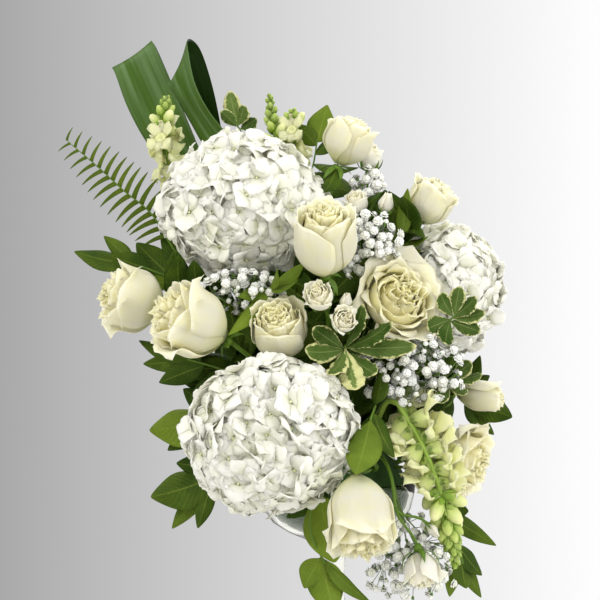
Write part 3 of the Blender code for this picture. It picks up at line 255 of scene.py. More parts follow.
# Leafy sprigs: kind, the way of the twig, then each leaf as (place along the twig, tip, width, how light
# its green is, from 0 dark to 1 bright)
SPRIGS = {
    "broad_left": ("broad", [(-112, 16, 300), (-136, 15, 314), (-160, 12, 324), (-184, 10, 333)], [
        (1.00, (-232, 8, 342), 20, 0.22), (0.95, (-207, 18, 356), 14, 0.30),
        (0.70, (-200, 0, 338), 19, 0.15), (0.45, (-178, 18, 350), 26, 0.20),
        (0.42, (-172, 4, 312), 14, 0.60), (0.30, (-160, 34, 402), 21, 0.08)]),
    "broad_below_left": ("broad", [(-60, -36, 218), (-96, -38, 238), (-130, -32, 248)], [
        (1.00, (-172, -26, 264), 15, 0.12), (0.95, (-168, -30, 244), 16, 0.20),
        (0.75, (-154, -34, 228), 20, 0.05), (0.50, (-128, -30, 212), 20, 0.03),
        (0.80, (-146, -8, 270), 17, 0.03)]),
    "broad_lower_left": ("broad", [(-58, -6, 188), (-88, -12, 198), (-114, -16, 196)], [
        (1.00, (-163, -24, 186), 36, 0.85), (0.85, (-148, -14, 168), 20, 0.10),
        (0.80, (-134, -20, 222), 20, 0.05), (0.60, (-112, 4, 168), 20, 0.10)]),
    "broad_low_left": ("broad", [(-60, -4, 164), (-88, -8, 156), (-112, -12, 142)], [
        (0.90, (-162, -22, 128), 36, 0.25), (1.00, (-144, -16, 100), 17, 0.55),
        (0.75, (-141, -4, 156), 22, 0.08), (0.97, (-121, -30, 102), 15, 0.12),
        (0.50, (-88, 8, 122), 20, 0.10)]),
    "broad_front": ("broad", [(-4, -68, 154), (-20, -82, 136), (-24, -93, 108), (-12, -95, 80)], [
        (0.28, (-4, -108, 83), 38, 0.90), (0.55, (-27, -101, 73), 20, 0.10),
        (1.00, (-29, -97, 60), 21, 0.70), (0.98, (-4, -92, 38), 30, 0.75), (0.92, (27, -88, 46), 14, 0.45),
        (0.20, (-44, -84, 116), 20, 0.10)]),
    "broad_centre_low": ("broad", [(30, -62, 204), (30, -92, 211), (25, -118, 201)], [
        (1.00, (12, -156, 160), 28, 0.62), (0.75, (46, -92, 168), 17, 0.10),
        (0.50, (36, -74, 240), 15, 0.12)]),
    "broad_low_right": ("broad", [(70, -30, 146), (86, -36, 120), (101, -36, 96), (108, -36, 72)], [
        (0.32, (136, -38, 88), 15, 0.25), (0.75, (124, -36, 62), 17, 0.15),
        (1.00, (110, -44, 52), 22, 0.20), (0.95, (124, -30, 42), 12, 0.35), (0.90, (96, -38, 44), 15, 0.70),
        (0.35, (112, -34, 118), 18, 0.10)]),
    "broad_right": ("broad", [(82, 16, 226), (102, 16, 218), (120, 12, 212)], [
        (1.00, (154, 0, 196), 24, 0.15), (0.80, (139, 10, 180), 18, 0.10), (0.70, (127, 12, 250), 16, 0.12),
        (0.55, (136, 18, 232), 18, 0.15), (0.40, (96, 30, 176), 22, 0.08)]),
    "ruscus_upper_right": ("ruscus", [(40, -18, 316), (52, -17, 338), (57, -17, 356)], [
        (1.00, (61, -22, 396), 13, 0.55), (0.80, (42, -16, 388), 13, 0.20),
        (0.75, (78, -28, 354), 10, 0.60), (0.50, (72, -34, 342), 10, 0.50),
        (0.60, (38, -30, 362), 11, 0.20)]),
    "ruscus_top": ("ruscus", [(-26, 40, 396), (-20, 40, 424), (-17, 40, 444)], [
        (0.95, (-8, 42, 475), 24, 0.65), (0.85, (-34, 34, 457), 15, 0.20), (0.65, (2, 38, 452), 15, 0.15),
        (0.30, (17, 18, 394), 24, 0.05), (0.45, (20, 34, 418), 14, 0.10)]),
    "ruscus_centre": ("ruscus", [(-48, -38, 292), (-56, -58, 304), (-58, -72, 309)], [
        (0.90, (-92, -96, 270), 13, 0.80), (0.80, (-84, -84, 302), 12, 0.45),
        (1.00, (-34, -98, 316), 11, 0.50), (0.85, (-23, -78, 336), 12, 0.60),
        (0.95, (-52, -98, 326), 11, 0.70), (0.60, (-86, -62, 286), 12, 0.30)]),
    "broad_back_left": ("broad", [(-20, 58, 200), (-24, 66, 245), (-30, 70, 290), (-34, 74, 318)], [
        (0.93, (-60, 66, 372), 32, 0.03), (0.86, (-92, 70, 312), 32, 0.10), (0.78, (12, 66, 346), 32, 0.05),
        (0.62, (-86, 62, 268), 32, 0.03), (0.52, (20, 66, 292), 32, 0.10), (0.35, (-78, 58, 228), 32, 0.05),
        (0.20, (22, 66, 240), 30, 0.03), (0.08, (-62, 76, 170), 30, 0.10), (0.03, (-22, 88, 146), 30, 0.05),
        (0.26, (-52, 104, 226), 32, 0.03), (0.12, (-14, 108, 196), 30, 0.10),
        (0.44, (-46, 106, 282), 32, 0.05), (0.60, (-2, 106, 330), 30, 0.03)]),
    "broad_back_right": ("broad", [(32, 40, 205), (42, 44, 245), (44, 44, 290), (38, 42, 340)], [
        (0.93, (44, 34, 398), 32, 0.05), (0.84, (-6, 36, 380), 30, 0.03), (0.74, (46, 92, 350), 32, 0.10),
        (0.58, (6, 48, 318), 30, 0.05), (0.50, (88, 56, 246), 32, 0.03), (0.30, (92, 40, 206), 32, 0.10),
        (0.15, (70, 62, 176), 28, 0.05), (0.05, (26, 82, 142), 30, 0.03), (0.10, (52, 92, 186), 30, 0.10),
        (0.24, (16, 98, 232), 32, 0.05), (0.38, (66, 92, 268), 30, 0.03), (0.54, (28, 98, 302), 30, 0.10)]),
    "pittosporum_centre": ("pittosporum", [(6, -50, 236), (6, -70, 250), (5, -87, 261)], [
        (0.93, (64, -100, 261), 16, 0.35), (0.88, (44, -104, 281), 15, 0.15),
        (0.90, (20, -112, 294), 13, 0.20), (0.84, (-28, -114, 257), 17, 0.45),
        (0.80, (-22, -102, 276), 15, 0.35), (0.86, (-8, -122, 238), 16, 0.60),
        (0.91, (13, -126, 226), 20, 0.95), (0.78, (30, -108, 238), 18, 0.30),
        (0.72, (38, -82, 268), 15, 0.10)]),
    "pittosporum_right": ("pittosporum", [(76, -40, 262), (90, -49, 276), (100, -54, 287)], [
        (0.90, (86, -64, 305), 14, 0.40), (0.87, (117, -62, 302), 14, 0.25),
        (0.80, (75, -70, 275), 15, 0.30), (0.84, (125, -58, 289), 13, 0.45),
        (0.77, (90, -72, 262), 15, 0.20), (0.74, (121, -58, 272), 13, 0.30),
        (0.93, (103, -60, 311), 13, 0.50)]),
    "pittosporum_upper": ("pittosporum", [(-68, 58, 428), (-82, 52, 446), (-90, 47, 458)], [
        (1.00, (-96, 44, 488), 15, 0.60), (0.95, (-83, 42, 475), 13, 0.40),
        (0.90, (-104, 44, 470), 11, 0.30), (0.80, (-72, 50, 464), 12, 0.20),
        (0.20, (-104, 58, 440), 18, 0.05), (0.10, (-90, 66, 438), 16, 0.05)]),
    "pittosporum_low_right": ("pittosporum", [(74, -36, 222), (88, -42, 227), (98, -46, 231)], [
        (1.00, (113, -56, 247), 13, 0.45), (0.95, (109, -58, 219), 12, 0.40),
        (1.00, (124, -44, 236), 12, 0.30), (0.85, (85, -60, 212), 12, 0.35)]),
}
TWIG_RADII = {"broad": (1.6, 0.8), "ruscus": (1.5, 0.75), "pittosporum": (1.4, 0.7)}
LEAF_FACING = Vector((0.0, -1.0, 0.45))
LEAF_FOLD = 0.22
LEAF_ARCH = 0.07
LEAF_THICKNESS = 0.7

# A packed leaf may lie a little off its place in the table: how far its tip can be shifted, how far it can
# reach, and how near a corner has to be; no leaf sits further along its twig than the last share
TIP_SHIFTS = [
    (0, 0, 0), (0, -8, 0), (0, 8, 0), (5, -4, 5), (-5, -4, 5), (5, -4, -5), (-5, -4, -5), (0, -17, 2),
    (0, 17, 2), (11, 0, 9), (-11, 0, 9), (11, 0, -9), (-11, 0, -9), (0, -27, 0), (0, 27, 0),
]
TIP_REACHES = [1.0, 0.8, 0.62]
TIP_FOUND = 0.1
LAST_SHARE = 0.93

# Leaves among the stems: how far apart, where the stem starts to bear them and for how much of it, how their
# sizes vary, ways tried for each, width to length, arch, wave of the edge, room for their tips
STEM_LEAF_SPACING = 5.5
STEM_LEAF_STRETCH = (0.2, 0.72)
STEM_LEAF_SIZES = (0.6, 1.1)
STEM_LEAF_TRIES = 6
STEM_LEAF_WIDTH = 0.42
STEM_LEAF_ARCH = 0.10
STEM_LEAF_WAVE = (0.06, 2.0)
STEM_LEAF_ROOM = ((-142, -62, 150), (108, 200, 400))

# Baby's breath: root of the spray, middle of the cloud, its half sizes and its flowers
BABYS_BREATH = {
    "babys_breath_left": ((-62, -40, 272), (-84, -62, 306), (40, 18, 19), 78),
    "babys_breath_upper": ((26, -22, 312), (26, -44, 342), (31, 19, 34), 108),
    "babys_breath_right": ((46, -44, 222), (62, -66, 240), (48, 20, 31), 135),
    "babys_breath_low": ((50, -66, 130), (62, -68, 80), (42, 21, 38), 130),
    "babys_breath_top": ((16, 8, 372), (28, 6, 400), (17, 12, 17), 22),
}
BREATH_STALK = (1.2, 1.0)
BREATH_BRANCH = (0.8, 0.45)
BREATH_THREAD = (0.32, 0.28)
BREATH_BRANCHES = 7
BREATH_SPACING = 6.2
BREATH_TRIES = 16
BREATH_HALF_OPEN = 0.14


def linear(code):
    """Linear colour of an sRGB hex value."""
    shares = [int(code[place:place + 2], 16) / 255.0 for place in (0, 2, 4)]
    return tuple(s / 12.92 if s <= 0.04045 else ((s + 0.055) / 1.055) ** 2.4 for s in shares) + (1.0,)


def colour_property(name, code, description):
    """Property for a colour that a user would change."""
    return FloatVectorProperty(name=name, description=description, subtype="COLOR", size=4, min=0.0, max=1.0,
                               default=linear(code))


class BouquetSizes(bpy.types.PropertyGroup):
    """Numbers and sizes that a user would change."""

    rose_petals: IntProperty(name="Rose petals", description="Petals of a large rose", default=24, min=8)
    spray_petals: IntProperty(name="Spray rose petals", description="Petals of a small rose", default=13,
                              min=5)
    florets: IntProperty(name="Florets", description="Outer florets of a large hydrangea head", default=136,
                         min=30)
    petal_thickness: FloatProperty(name="Petal thickness", description="Thickness of the roses' petals",
                                   default=0.0005, min=0.0001, unit="LENGTH")
    stem_leaf_length: FloatProperty(name="Stem leaf", description="Length of the leaves among the stems",
                                    default=0.062, min=0.02, unit="LENGTH")
    floor_radius: FloatProperty(name="Floor", description="Radius of the pale table top", default=0.215,
                                min=0.06, unit="LENGTH")


class BouquetColours(bpy.types.PropertyGroup):
    """Main colours of the flowers, leaves and glass."""

    hydrangea: colour_property("Hydrangea", "eeeee5", "Sepals of the hydrangeas")
    rose_cream: colour_property("Rose", "ece8c4", "Outer petals of the roses")
    rose_heart: colour_property("Rose heart", "f4ea8e", "Innermost petals of the roses")
    spray_cream: colour_property("Spray rose", "fbf9ea", "Outer petals of the spray roses")
    snapdragon: colour_property("Snapdragon", "e2e3ac", "Lips of the snapdragon florets")
    breath: colour_property("Baby's breath", "f8f9f6", "Petals of the baby's breath")
    broad_leaf: colour_property("Broad leaf", "142604", "Glossy leaves")
    ruscus_leaf: colour_property("Ruscus leaf", "284606", "Bright narrow leaves")
    blade: colour_property("Folded blade", "4a6a22", "The two broad folded blades")
    fern: colour_property("Fern", "4a5e12", "Leaflets of the frond")
    glass: colour_property("Glass", "f8faf6", "Tint of the bowl")


# Materials

# Node kinds. A mix takes its share at socket 0 and its two colours at 6 and 7, and gives output 2. A range
# takes its value at socket 0, its limits at 1 and 2, and what it gives there at 3 and 4, or else 0 and 1.
MIX = "ShaderNodeMix"
RANGE = "ShaderNodeMapRange"
MATH = "ShaderNodeMath"
NOISE = "ShaderNodeTexNoise"
ATTRIBUTE = "ShaderNodeAttribute"
AS_IT_IS = ()


def add_node(tree, kind, inputs=None, **settings):
    """Add a node with its settings; inputs gives a socket a value, or the node or output that feeds it."""
    node = tree.nodes.new(kind)
    for name, value in settings.items():
        setattr(node, name, value)
    for name, value in (inputs or {}).items():
        if isinstance(value, bpy.types.Node):
            value = next(output for output in value.outputs if output.enabled)
        if isinstance(value, bpy.types.NodeSocket):
            tree.links.new(value, node.inputs[name])
        else:
            node.inputs[name].default_value = value
    return node


def new_surface(name, **values):
    """Node tree and shader of a new material; an underscore in a socket's name stands for a space."""
    material = bpy.data.materials.new(name)
    material.use_nodes = True
    shader = material.node_tree.nodes["Principled BSDF"]
    for socket, value in values.items():
        shader.inputs[socket.replace("_", " ")].default_value = value
    return material.node_tree, shader


def sheet_places(tree):
    """Place across and along a petal or leaf, from 0 to 1, as its own UV map gives it."""
    apart = add_node(tree, "ShaderNodeSeparateXYZ", {0: add_node(tree, "ShaderNodeUVMap")})
    return apart.outputs["X"], apart.outputs["Y"]


def veining(tree, across, along):
    """Fine streaks drawn out over a petal, leaf or stalk: how many across it and how many along it."""
    place = add_node(tree, "ShaderNodeMapping", {"Vector": add_node(tree, "ShaderNodeUVMap"),
                                                 "Scale": (across, along, 1.0)})
    return add_node(tree, NOISE, {"Vector": place, "Scale": 1.0, "Detail": 2.0})


def blotches(tree, size):
    """Soft blotches of a size in millimetres, through the whole piece."""
    place = add_node(tree, "ShaderNodeTexCoord").outputs["Object"]
    return add_node(tree, NOISE, {"Vector": place, "Scale": 1.0 / (size * MM), "Detail": 3.0})


def finish_surface(tree, shader, colour, layers, relief, height, strength):
    """Give a surface its colour, laid down in layers, and a fine relief of a height in millimetres.

    A layer is the value that it follows, the range that turns that into the layer's share, and its colour.
    """
    for follows, limits, above in layers:
        share = add_node(tree, RANGE, dict(enumerate((follows, *limits))))
        colour = add_node(tree, MIX, {0: share, 6: colour, 7: above}, data_type="RGBA")
    bump = add_node(tree, "ShaderNodeBump", {
        "Height": relief, "Distance": height * MM, "Strength": strength})
    tree.links.new(bump.outputs["Normal"], shader.inputs["Normal"])
    tree.links.new(colour.outputs[2], shader.inputs["Base Color"])


def rose_petal(name, cream, heart, foot):
    """Living rose petal, satin and thin: light warms its folds, veins 2 mm apart, green at its foot, its
    upper part paler with a painted highlight.
    """
    tree, shader = new_surface(name, Roughness=0.5, Subsurface_Weight=0.6, Subsurface_Scale=0.005,
                               Subsurface_Radius=(1.0, 1.0, 0.75), Specular_IOR_Level=0.3)
    _, along = sheet_places(tree)
    tone = add_node(tree, ATTRIBUTE, attribute_name="tone").outputs["Fac"]
    layers = [
        (tone, (0.15, 0.95), cream),
        # Painted highlight: the upper petal drawn paler, in the cream it shows in the light.
        (along, (0.6, 0.95, 0.0, 0.35), linear("f4f0d6")),
        (along, (0.965, 1.0, 0.0, 0.2), linear("dfdb90")),
        (along, (0.02, 0.34, 0.8, 0.0), foot),
        (blotches(tree, 12.0), (0.4, 0.65, 0.0, 0.25), heart),
    ]
    finish_surface(tree, shader, heart, layers, veining(tree, 30.0, 3.0), 0.5, 0.5)


def hydrangea_sepal(white):
    """White sepal, matt and thin enough to glow, greenish near the floret's middle, veins 1 mm apart."""
    tree, shader = new_surface("hydrangea_sepal", Roughness=0.6, Subsurface_Weight=0.5,
                               Subsurface_Scale=0.0015, Subsurface_Radius=(1.0, 0.98, 0.88),
                               Specular_IOR_Level=0.2)
    _, along = sheet_places(tree)
    shade = add_node(tree, ATTRIBUTE, attribute_name="shade").outputs["Fac"]
    tone = add_node(tree, ATTRIBUTE, attribute_name="tone").outputs["Fac"]
    layers = [
        (shade, (0.4, 1.0, 0.0, 0.8), linear("ebebd8")),
        (along, (0.0, 0.4, 0.6, 0.0), linear("dde0be")),
        (tone, AS_IT_IS, linear("d9dfae")),
    ]
    finish_surface(tree, shader, white, layers, veining(tree, 16.0, 2.5), 0.5, 0.45)


def head_depth():
    """Crowded florets deep in a hydrangea head, of which the gaps show only a pale green-white."""
    tree, shader = new_surface("head_depth", Roughness=0.8, Subsurface_Weight=0.4, Subsurface_Scale=0.01)
    layers = [(blotches(tree, 6.0), AS_IT_IS, linear("f8f8f0"))]
    finish_surface(tree, shader, linear("e8ead4"), layers, blotches(tree, 8.0), 4.0, 0.6)


def snapdragon_floret(cream):
    """Velvety floret, whose tone goes from green calyx over a pale tube to cream lips and throat."""
    tree, shader = new_surface("snapdragon_floret", Roughness=0.55, Subsurface_Weight=0.5,
                               Subsurface_Scale=0.004, Subsurface_Radius=(1.0, 1.0, 0.6),
                               Specular_IOR_Level=0.3)
    shade = add_node(tree, ATTRIBUTE, attribute_name="shade").outputs["Fac"]
    tone = add_node(tree, ATTRIBUTE, attribute_name="tone").outputs["Fac"]
    layers = [
        (tone, (0.05, 0.32), linear("acbf62")),
        (tone, (0.32, 0.62), cream),
        (tone, (0.8, 1.0), linear("e8e294")),
        (shade, (0.0, 1.0, 0.0, 0.28), linear("c6cf88")),
    ]
    finish_surface(tree, shader, linear("6c9022"), layers, veining(tree, 14.0, 2.0), 0.5, 0.5)


def breath_petal(white):
    """Tiny double flower, matt: white petals over a small green cup."""
    tree, shader = new_surface("breath_petal", Roughness=0.7, Specular_IOR_Level=0.2)
    shade = add_node(tree, ATTRIBUTE, attribute_name="shade").outputs["Fac"]
    tone = add_node(tree, ATTRIBUTE, attribute_name="tone").outputs["Fac"]
    layers = [(shade, (0.6, 1.0, 0.0, 0.7), linear("e9eadb")), (tone, AS_IT_IS, linear("6c8f3c"))]
    finish_surface(tree, shader, white, layers, blotches(tree, 1.5), 0.3, 0.3)


def leaf_skin(name, dark, light, vein, gloss, veins, margin=None):
    """Waxy leaf: pale midrib, side veins 4 to 5 mm apart, each leaf its own green, perhaps a pale edge."""
    tree, shader = new_surface(name, Roughness=gloss, Specular_IOR_Level=0.12)
    across, along = sheet_places(tree)
    tone = add_node(tree, ATTRIBUTE, attribute_name="tone").outputs["Fac"]
    offset = add_node(tree, MATH, {0: across, 1: 0.5}, operation="SUBTRACT")
    side = add_node(tree, MATH, {0: offset}, operation="ABSOLUTE")
    slant = add_node(tree, MATH, {0: side, 1: -0.55, 2: along}, operation="MULTIPLY_ADD")
    steps = add_node(tree, MATH, {0: slant, 1: veins}, operation="MULTIPLY")
    ripple = add_node(tree, MATH, {0: steps, 1: 0.5}, operation="PINGPONG")
    rib = add_node(tree, RANGE, {0: side, 1: 0.008, 2: 0.035, 3: 0.38, 4: 0.0})
    patch = add_node(tree, RANGE, {0: blotches(tree, 26.0), 1: 0.3, 2: 0.7, 3: -0.22, 4: 0.22})
    share = add_node(tree, MATH, {0: tone, 1: patch}, operation="ADD", use_clamp=True)
    layers = [(share, AS_IT_IS, light), (ripple, (0.0, 0.08, 0.22, 0.0), vein)]
    if margin is not None:
        stray = add_node(tree, RANGE, {0: veining(tree, 4.0, 12.0), 1: 0.3, 2: 0.7, 3: -0.08, 4: 0.08})
        border = add_node(tree, MATH, {0: side, 1: stray}, operation="ADD")
        spread = add_node(tree, MATH, {0: tone, 1: tone}, operation="MULTIPLY")
        border = add_node(tree, MATH, {0: spread, 1: 0.4, 2: border}, operation="MULTIPLY_ADD")
        pale = add_node(tree, RANGE, {0: border, 1: 0.46, 2: 0.52, 4: 0.85})
        end = add_node(tree, RANGE, {0: along, 1: 0.92, 2: 0.99})
        either = add_node(tree, MATH, {0: pale, 1: end}, operation="MAXIMUM")
        layers.append((either, AS_IT_IS, margin))
    layers.append((rib, AS_IT_IS, vein))
    crown = add_node(tree, RANGE, {0: ripple, 1: 0.0, 2: 0.25})
    relief = add_node(tree, MATH, {0: crown, 1: rib}, operation="SUBTRACT")
    finish_surface(tree, shader, dark, layers, relief, 0.5, 0.5)


def blade_skin(name, green, dark, painted_sheen, shine):
    """Strap leaf, leathery: fine veins 1.5 mm apart, side by side, and soft pale streaks of painted sheen."""
    tree, shader = new_surface(name, Roughness=0.42, Specular_IOR_Level=shine)
    layers = [
        (veining(tree, 26.0, 1.2), (0.25, 0.75), green),
        (blotches(tree, 24.0), (0.4, 0.7, 0.0, 0.5), dark),
        # Painted sheen: pale streaks that stand in for light on the glossy blade.
        (veining(tree, 5.0, 1.6), (0.42, 0.75, 0.0, 0.6), painted_sheen),
    ]
    finish_surface(tree, shader, dark, layers, veining(tree, 44.0, 1.0), 0.4, 0.3)


def stem_skin(name, green, light):
    """Fresh stalk, satin, with faint streaks along it."""
    tree, shader = new_surface(name, Roughness=0.5, Specular_IOR_Level=0.3)
    layers = [(veining(tree, 7.0, 3.0), (0.3, 0.7), light)]
    finish_surface(tree, shader, green, layers, blotches(tree, 2.4), 0.3, 0.3)


def clear_glass(tint):
    """Blown soda glass: clear and smooth, its wall a little uneven, with a faint grey-green cast."""
    tree, shader = new_surface("clear_glass", Base_Color=tint, Roughness=0.02, IOR=1.45,
                               Transmission_Weight=1.0)
    bump = add_node(tree, "ShaderNodeBump", {
        "Height": blotches(tree, 110.0), "Distance": 2.0 * MM, "Strength": 0.06})
    tree.links.new(bump.outputs["Normal"], shader.inputs["Normal"])


def wet_foam():
    """Soaked floral foam: dark green, matt, with pores of under a millimetre drawn coarser so they show, and
    painted darker as shade.
    """
    tree, shader = new_surface("wet_foam", Roughness=0.85)
    spot = add_node(tree, "ShaderNodeTexCoord").outputs["Object"]
    pores = add_node(tree, "ShaderNodeTexVoronoi", {"Vector": spot, "Scale": 700.0})
    layers = [
        (blotches(tree, 17.0), (0.3, 0.7), linear("3e6630")),
        # Painted shade: the pores drawn darker, as holes look in shadow.
        (pores, (0.0, 0.35, 0.6, 0.0), linear("1c3012")),
    ]
    finish_surface(tree, shader, linear("2c4c20"), layers, pores, 0.8, 0.7)


def painted_board():
    """Table top, matt off-white paint with a barely uneven tone."""
    tree, shader = new_surface("table_top", Roughness=0.7)
    layers = [(blotches(tree, 80.0), AS_IT_IS, linear("f3f3f1"))]
    finish_surface(tree, shader, linear("e9e9e7"), layers, blotches(tree, 3.0), 0.1, 0.2)


def finishes():
    """Every material of the bouquet, made once."""
    if "clear_glass" in bpy.data.materials:
        return bpy.data.materials
    colours = bpy.context.scene.bouquet_colours
    rose_petal("rose_petal", colours.rose_cream, colours.rose_heart, linear("c9d184"))
    rose_petal("spray_petal", colours.spray_cream, linear("f8f0bc"), linear("dfe4ba"))
    hydrangea_sepal(colours.hydrangea)
    head_depth()
    snapdragon_floret(colours.snapdragon)
    breath_petal(colours.breath)
    leaf_skin("broad_skin", colours.broad_leaf, linear("6c851e"), linear("8a9a40"), 0.4, 11.0)
    leaf_skin("broad_under", linear("324a10"), linear("708628"), linear("84943e"), 0.6, 11.0)
    leaf_skin("ruscus_skin", colours.ruscus_leaf, linear("5f8612"), linear("84983a"), 0.45, 16.0)
    leaf_skin("pittosporum_skin", linear("2a460e"), linear("6c8240"), linear("98a566"), 0.45, 9.0,
              linear("d6d598"))
    blade_skin("blade_skin", colours.blade, linear("3c5a18"), linear("7e9870"), 0.25)
    # The blades' inner face: a near-black copy of the blade's skin, painted shade where the fold keeps the
    # light off.
    blade_skin("blade_inner", linear("142b03"), linear("0f2202"), linear("1b3408"), 0.04)
    leaf_skin("fern_skin", colours.fern, linear("7c8c2c"), linear("8e9840"), 0.6, 5.0)
    stem_skin("green_stem", linear("40641a"), linear("6f8e30"))
    stem_skin("spike_stem", linear("6c8f2c"), linear("9db552"))
    stem_skin("breath_stem", linear("5c7a36"), linear("82995a"))
    clear_glass(colours.glass)
    wet_foam()
    painted_board()
    return bpy.data.materials


# Meshes

class Patchwork:
    """Gathers sheets and tubes into one mesh, with a UV map, a tone at each point and spots for florets."""

    def __init__(self, *materials):
        self.materials = materials
        self.points = []
        self.uvs = []
        self.tones = []
        self.faces = []
        self.slots = []
        self.spots = []
        self.count = 0

    def add(self, points, faces, uvs, tone, material):
        """Add points, faces that count from the first of them, their UV places and their tone."""
        points = np.asarray(points, float)
        self.faces += [tuple(corner + self.count for corner in face) for face in faces]
        self.slots += [self.materials.index(material)] * len(faces)
        self.points.append(points)
        self.uvs.append(np.asarray(uvs, float))
        self.tones.append(np.broadcast_to(np.asarray(tone, float).reshape(-1), (len(points),)))
        self.count += len(points)

    def sheet(self, grid, thickness, material, under=None, tone=0.0):
        """Closed thin sheet over a grid of points, thinner at its edges, front on the side of u cross v."""
        rows, columns = grid.shape[:2]
        front = np.cross(np.gradient(grid, axis=1), np.gradient(grid, axis=0))
        front /= np.maximum(np.linalg.norm(front, axis=2, keepdims=True), 1e-9)
        across = np.linspace(-1.0, 1.0, columns)[None, :]
        along = np.linspace(0.0, 1.0, rows)[:, None]
        edge = np.maximum(np.abs(across), 2.0 * along - 1.0) ** 6
        offset = front * (thickness / 2.0 * (1.0 - EDGE_THINNING * edge)[:, :, None])
        index = np.arange(rows * columns).reshape(rows, columns)
        back = index + rows * columns
        rim = np.concatenate([index[0], index[1:, -1], index[-1, -2::-1], index[-2:0:-1, 0]])
        following = np.roll(rim, -1)
        sides = np.stack([following, rim, rim + rows * columns, following + rows * columns], axis=-1)
        under_faces = corners_of(back)[:, ::-1].tolist()
        faces = corners_of(index).tolist() + sides.tolist() + under_faces
        uv = np.stack(np.broadcast_arrays((across + 1.0) / 2.0, along), axis=-1).reshape(-1, 2)
        points = np.concatenate([(grid + offset).reshape(-1, 3), (grid - offset).reshape(-1, 3)])
        self.add(points, faces, np.concatenate([uv, uv]), tone, material)
        if under is not None:
            self.slots[-len(under_faces):] = [self.materials.index(under)] * len(under_faces)

    def tube(self, line, radii, material, sides=8):
        """Closed round tube along a line, with a radius at each of its points."""
        rings = tube_rings(line, radii, sides)
        points, faces = closed_rings(rings, [rings[0].mean(axis=0), rings[-1].mean(axis=0)])
        across, along = np.meshgrid(np.arange(sides) / sides, np.linspace(0.0, 1.0, len(rings)))
        uv = np.concatenate([np.stack([across, along], axis=-1).reshape(-1, 2), [(0.5, 0.0), (0.5, 1.0)]])
        self.add(points, faces, uv, 0.0, material)

    def turned(self, outline, steps, material, tone=0.0):
        """Closed body turned about z, where its outline starts and ends."""
        self.add(*turned_body(outline, steps), tone, material)

    def spot(self, matrix, size, kind):
        """Mark where a floret or leaflet is put, its z on the matrix's z."""
        place, turn, _ = matrix.decompose()
        self.spots.append((tuple(place), tuple(turn.to_euler("XYZ")), size, kind))

    def make(self, name):
        """Object with the mesh, in metres, at the origin."""
        points = np.concatenate(self.points + [np.array([spot[0] for spot in self.spots]).reshape(-1, 3)])
        mesh = bpy.data.meshes.new(name)
        mesh.from_pydata(points * MM, [], self.faces)
        mesh.polygons.foreach_set("material_index", self.slots)
        corners = np.zeros(len(mesh.loops), np.int32)
        mesh.loops.foreach_get("vertex_index", corners)
        mesh.uv_layers.new(name="UVMap").data.foreach_set("uv", np.concatenate(self.uvs)[corners].ravel())
        tones = np.concatenate(self.tones + [np.zeros(len(self.spots))])
        attributes = [("tone", "FLOAT", "value", tones)]
        if self.spots:
            blank = [(None, (0.0, 0.0, 0.0), 0.0, 0)] * self.count
            places, turns, sizes, kinds = zip(*(blank + self.spots))
            attributes += [
                ("spot", "BOOLEAN", "value", [place is not None for place in places]),
                ("turn", "FLOAT_VECTOR", "vector", np.array(turns).ravel()),
                ("size", "FLOAT", "value", sizes),
                ("kind", "INT", "value", kinds),
            ]
        for title, kind, field, values in attributes:
            mesh.attributes.new(title, kind, "POINT").data.foreach_set(field, values)
        for material in self.materials:
            mesh.materials.append(finishes()[material])
        mesh.shade_smooth()
        return in_scene(name, mesh)


def in_scene(name, data):
    """New object in the scene, with a mesh, camera or light."""
    thing = bpy.data.objects.new(name, data)
    bpy.context.scene.collection.objects.link(thing)
    return thing


def corners_of(index):
    """Quads between the rows and columns of a grid of numbers."""
    return np.stack([index[:-1, :-1], index[:-1, 1:], index[1:, 1:], index[1:, :-1]], axis=-1).reshape(-1, 4)


def closed_rings(rings, poles):
    """Points and faces of rings joined in turn, each of the two ends closed to its pole."""
    rows, steps = rings.shape[:2]
    index = np.arange(rows * steps).reshape(rows, steps)
    faces = corners_of(np.concatenate([index, index[:, :1]], axis=1)).tolist()
    faces += [(second, first, rows * steps) for first, second in zip(index[0], np.roll(index[0], -1))]
    faces += [(first, second, rows * steps + 1) for first, second in zip(index[-1], np.roll(index[-1], -1))]
    return np.concatenate([rings.reshape(-1, 3), poles]), faces


def turned_body(outline, steps):
    """Points, faces and UV places of a closed body turned about z, where its outline starts and ends."""
    outline = np.asarray(outline, float)
    angles = np.linspace(0.0, 2.0 * math.pi, steps, endpoint=False)
    radii, heights = outline[1:-1].T[:, :, None]
    rings = np.stack([radii * np.cos(angles), radii * np.sin(angles), heights + 0.0 * angles], axis=-1)
    points, faces = closed_rings(rings, [(0.0, 0.0, outline[0, 1]), (0.0, 0.0, outline[-1, 1])])
    return points, faces, points[:, :2] * TURNED_UV


def two_sides(direction):
    """Two unit vectors square to a direction and to each other."""
    helper = Vector((1.0, 0.0, 0.0)) if abs(direction.x) < 0.8 else Vector((0.0, 1.0, 0.0))
    first = direction.cross(helper).normalized()
    return first, direction.cross(first).normalized()


def square_to(direction, angle):
    """Unit vector square to a direction, turned about it by an angle."""
    first, second = two_sides(direction)
    return first * math.cos(angle) + second * math.sin(angle)


def tube_rings(line, radii, sides):
    """Rings of points round a line, turned as little as the line allows."""
    line = [Vector(point) for point in line]
    rings = []
    first = None
    for index, point in enumerate(line):
        direction = (line[min(index + 1, len(line) - 1)] - line[max(index - 1, 0)]).normalized()
        if first is None:
            first, second = two_sides(direction)
        first = (first - direction * first.dot(direction)).normalized()
        second = direction.cross(first)
        angles = [2.0 * math.pi * side / sides for side in range(sides)]
        rings.append([point + (first * math.cos(a) + second * math.sin(a)) * radii[index] for a in angles])
    return np.array(rings)


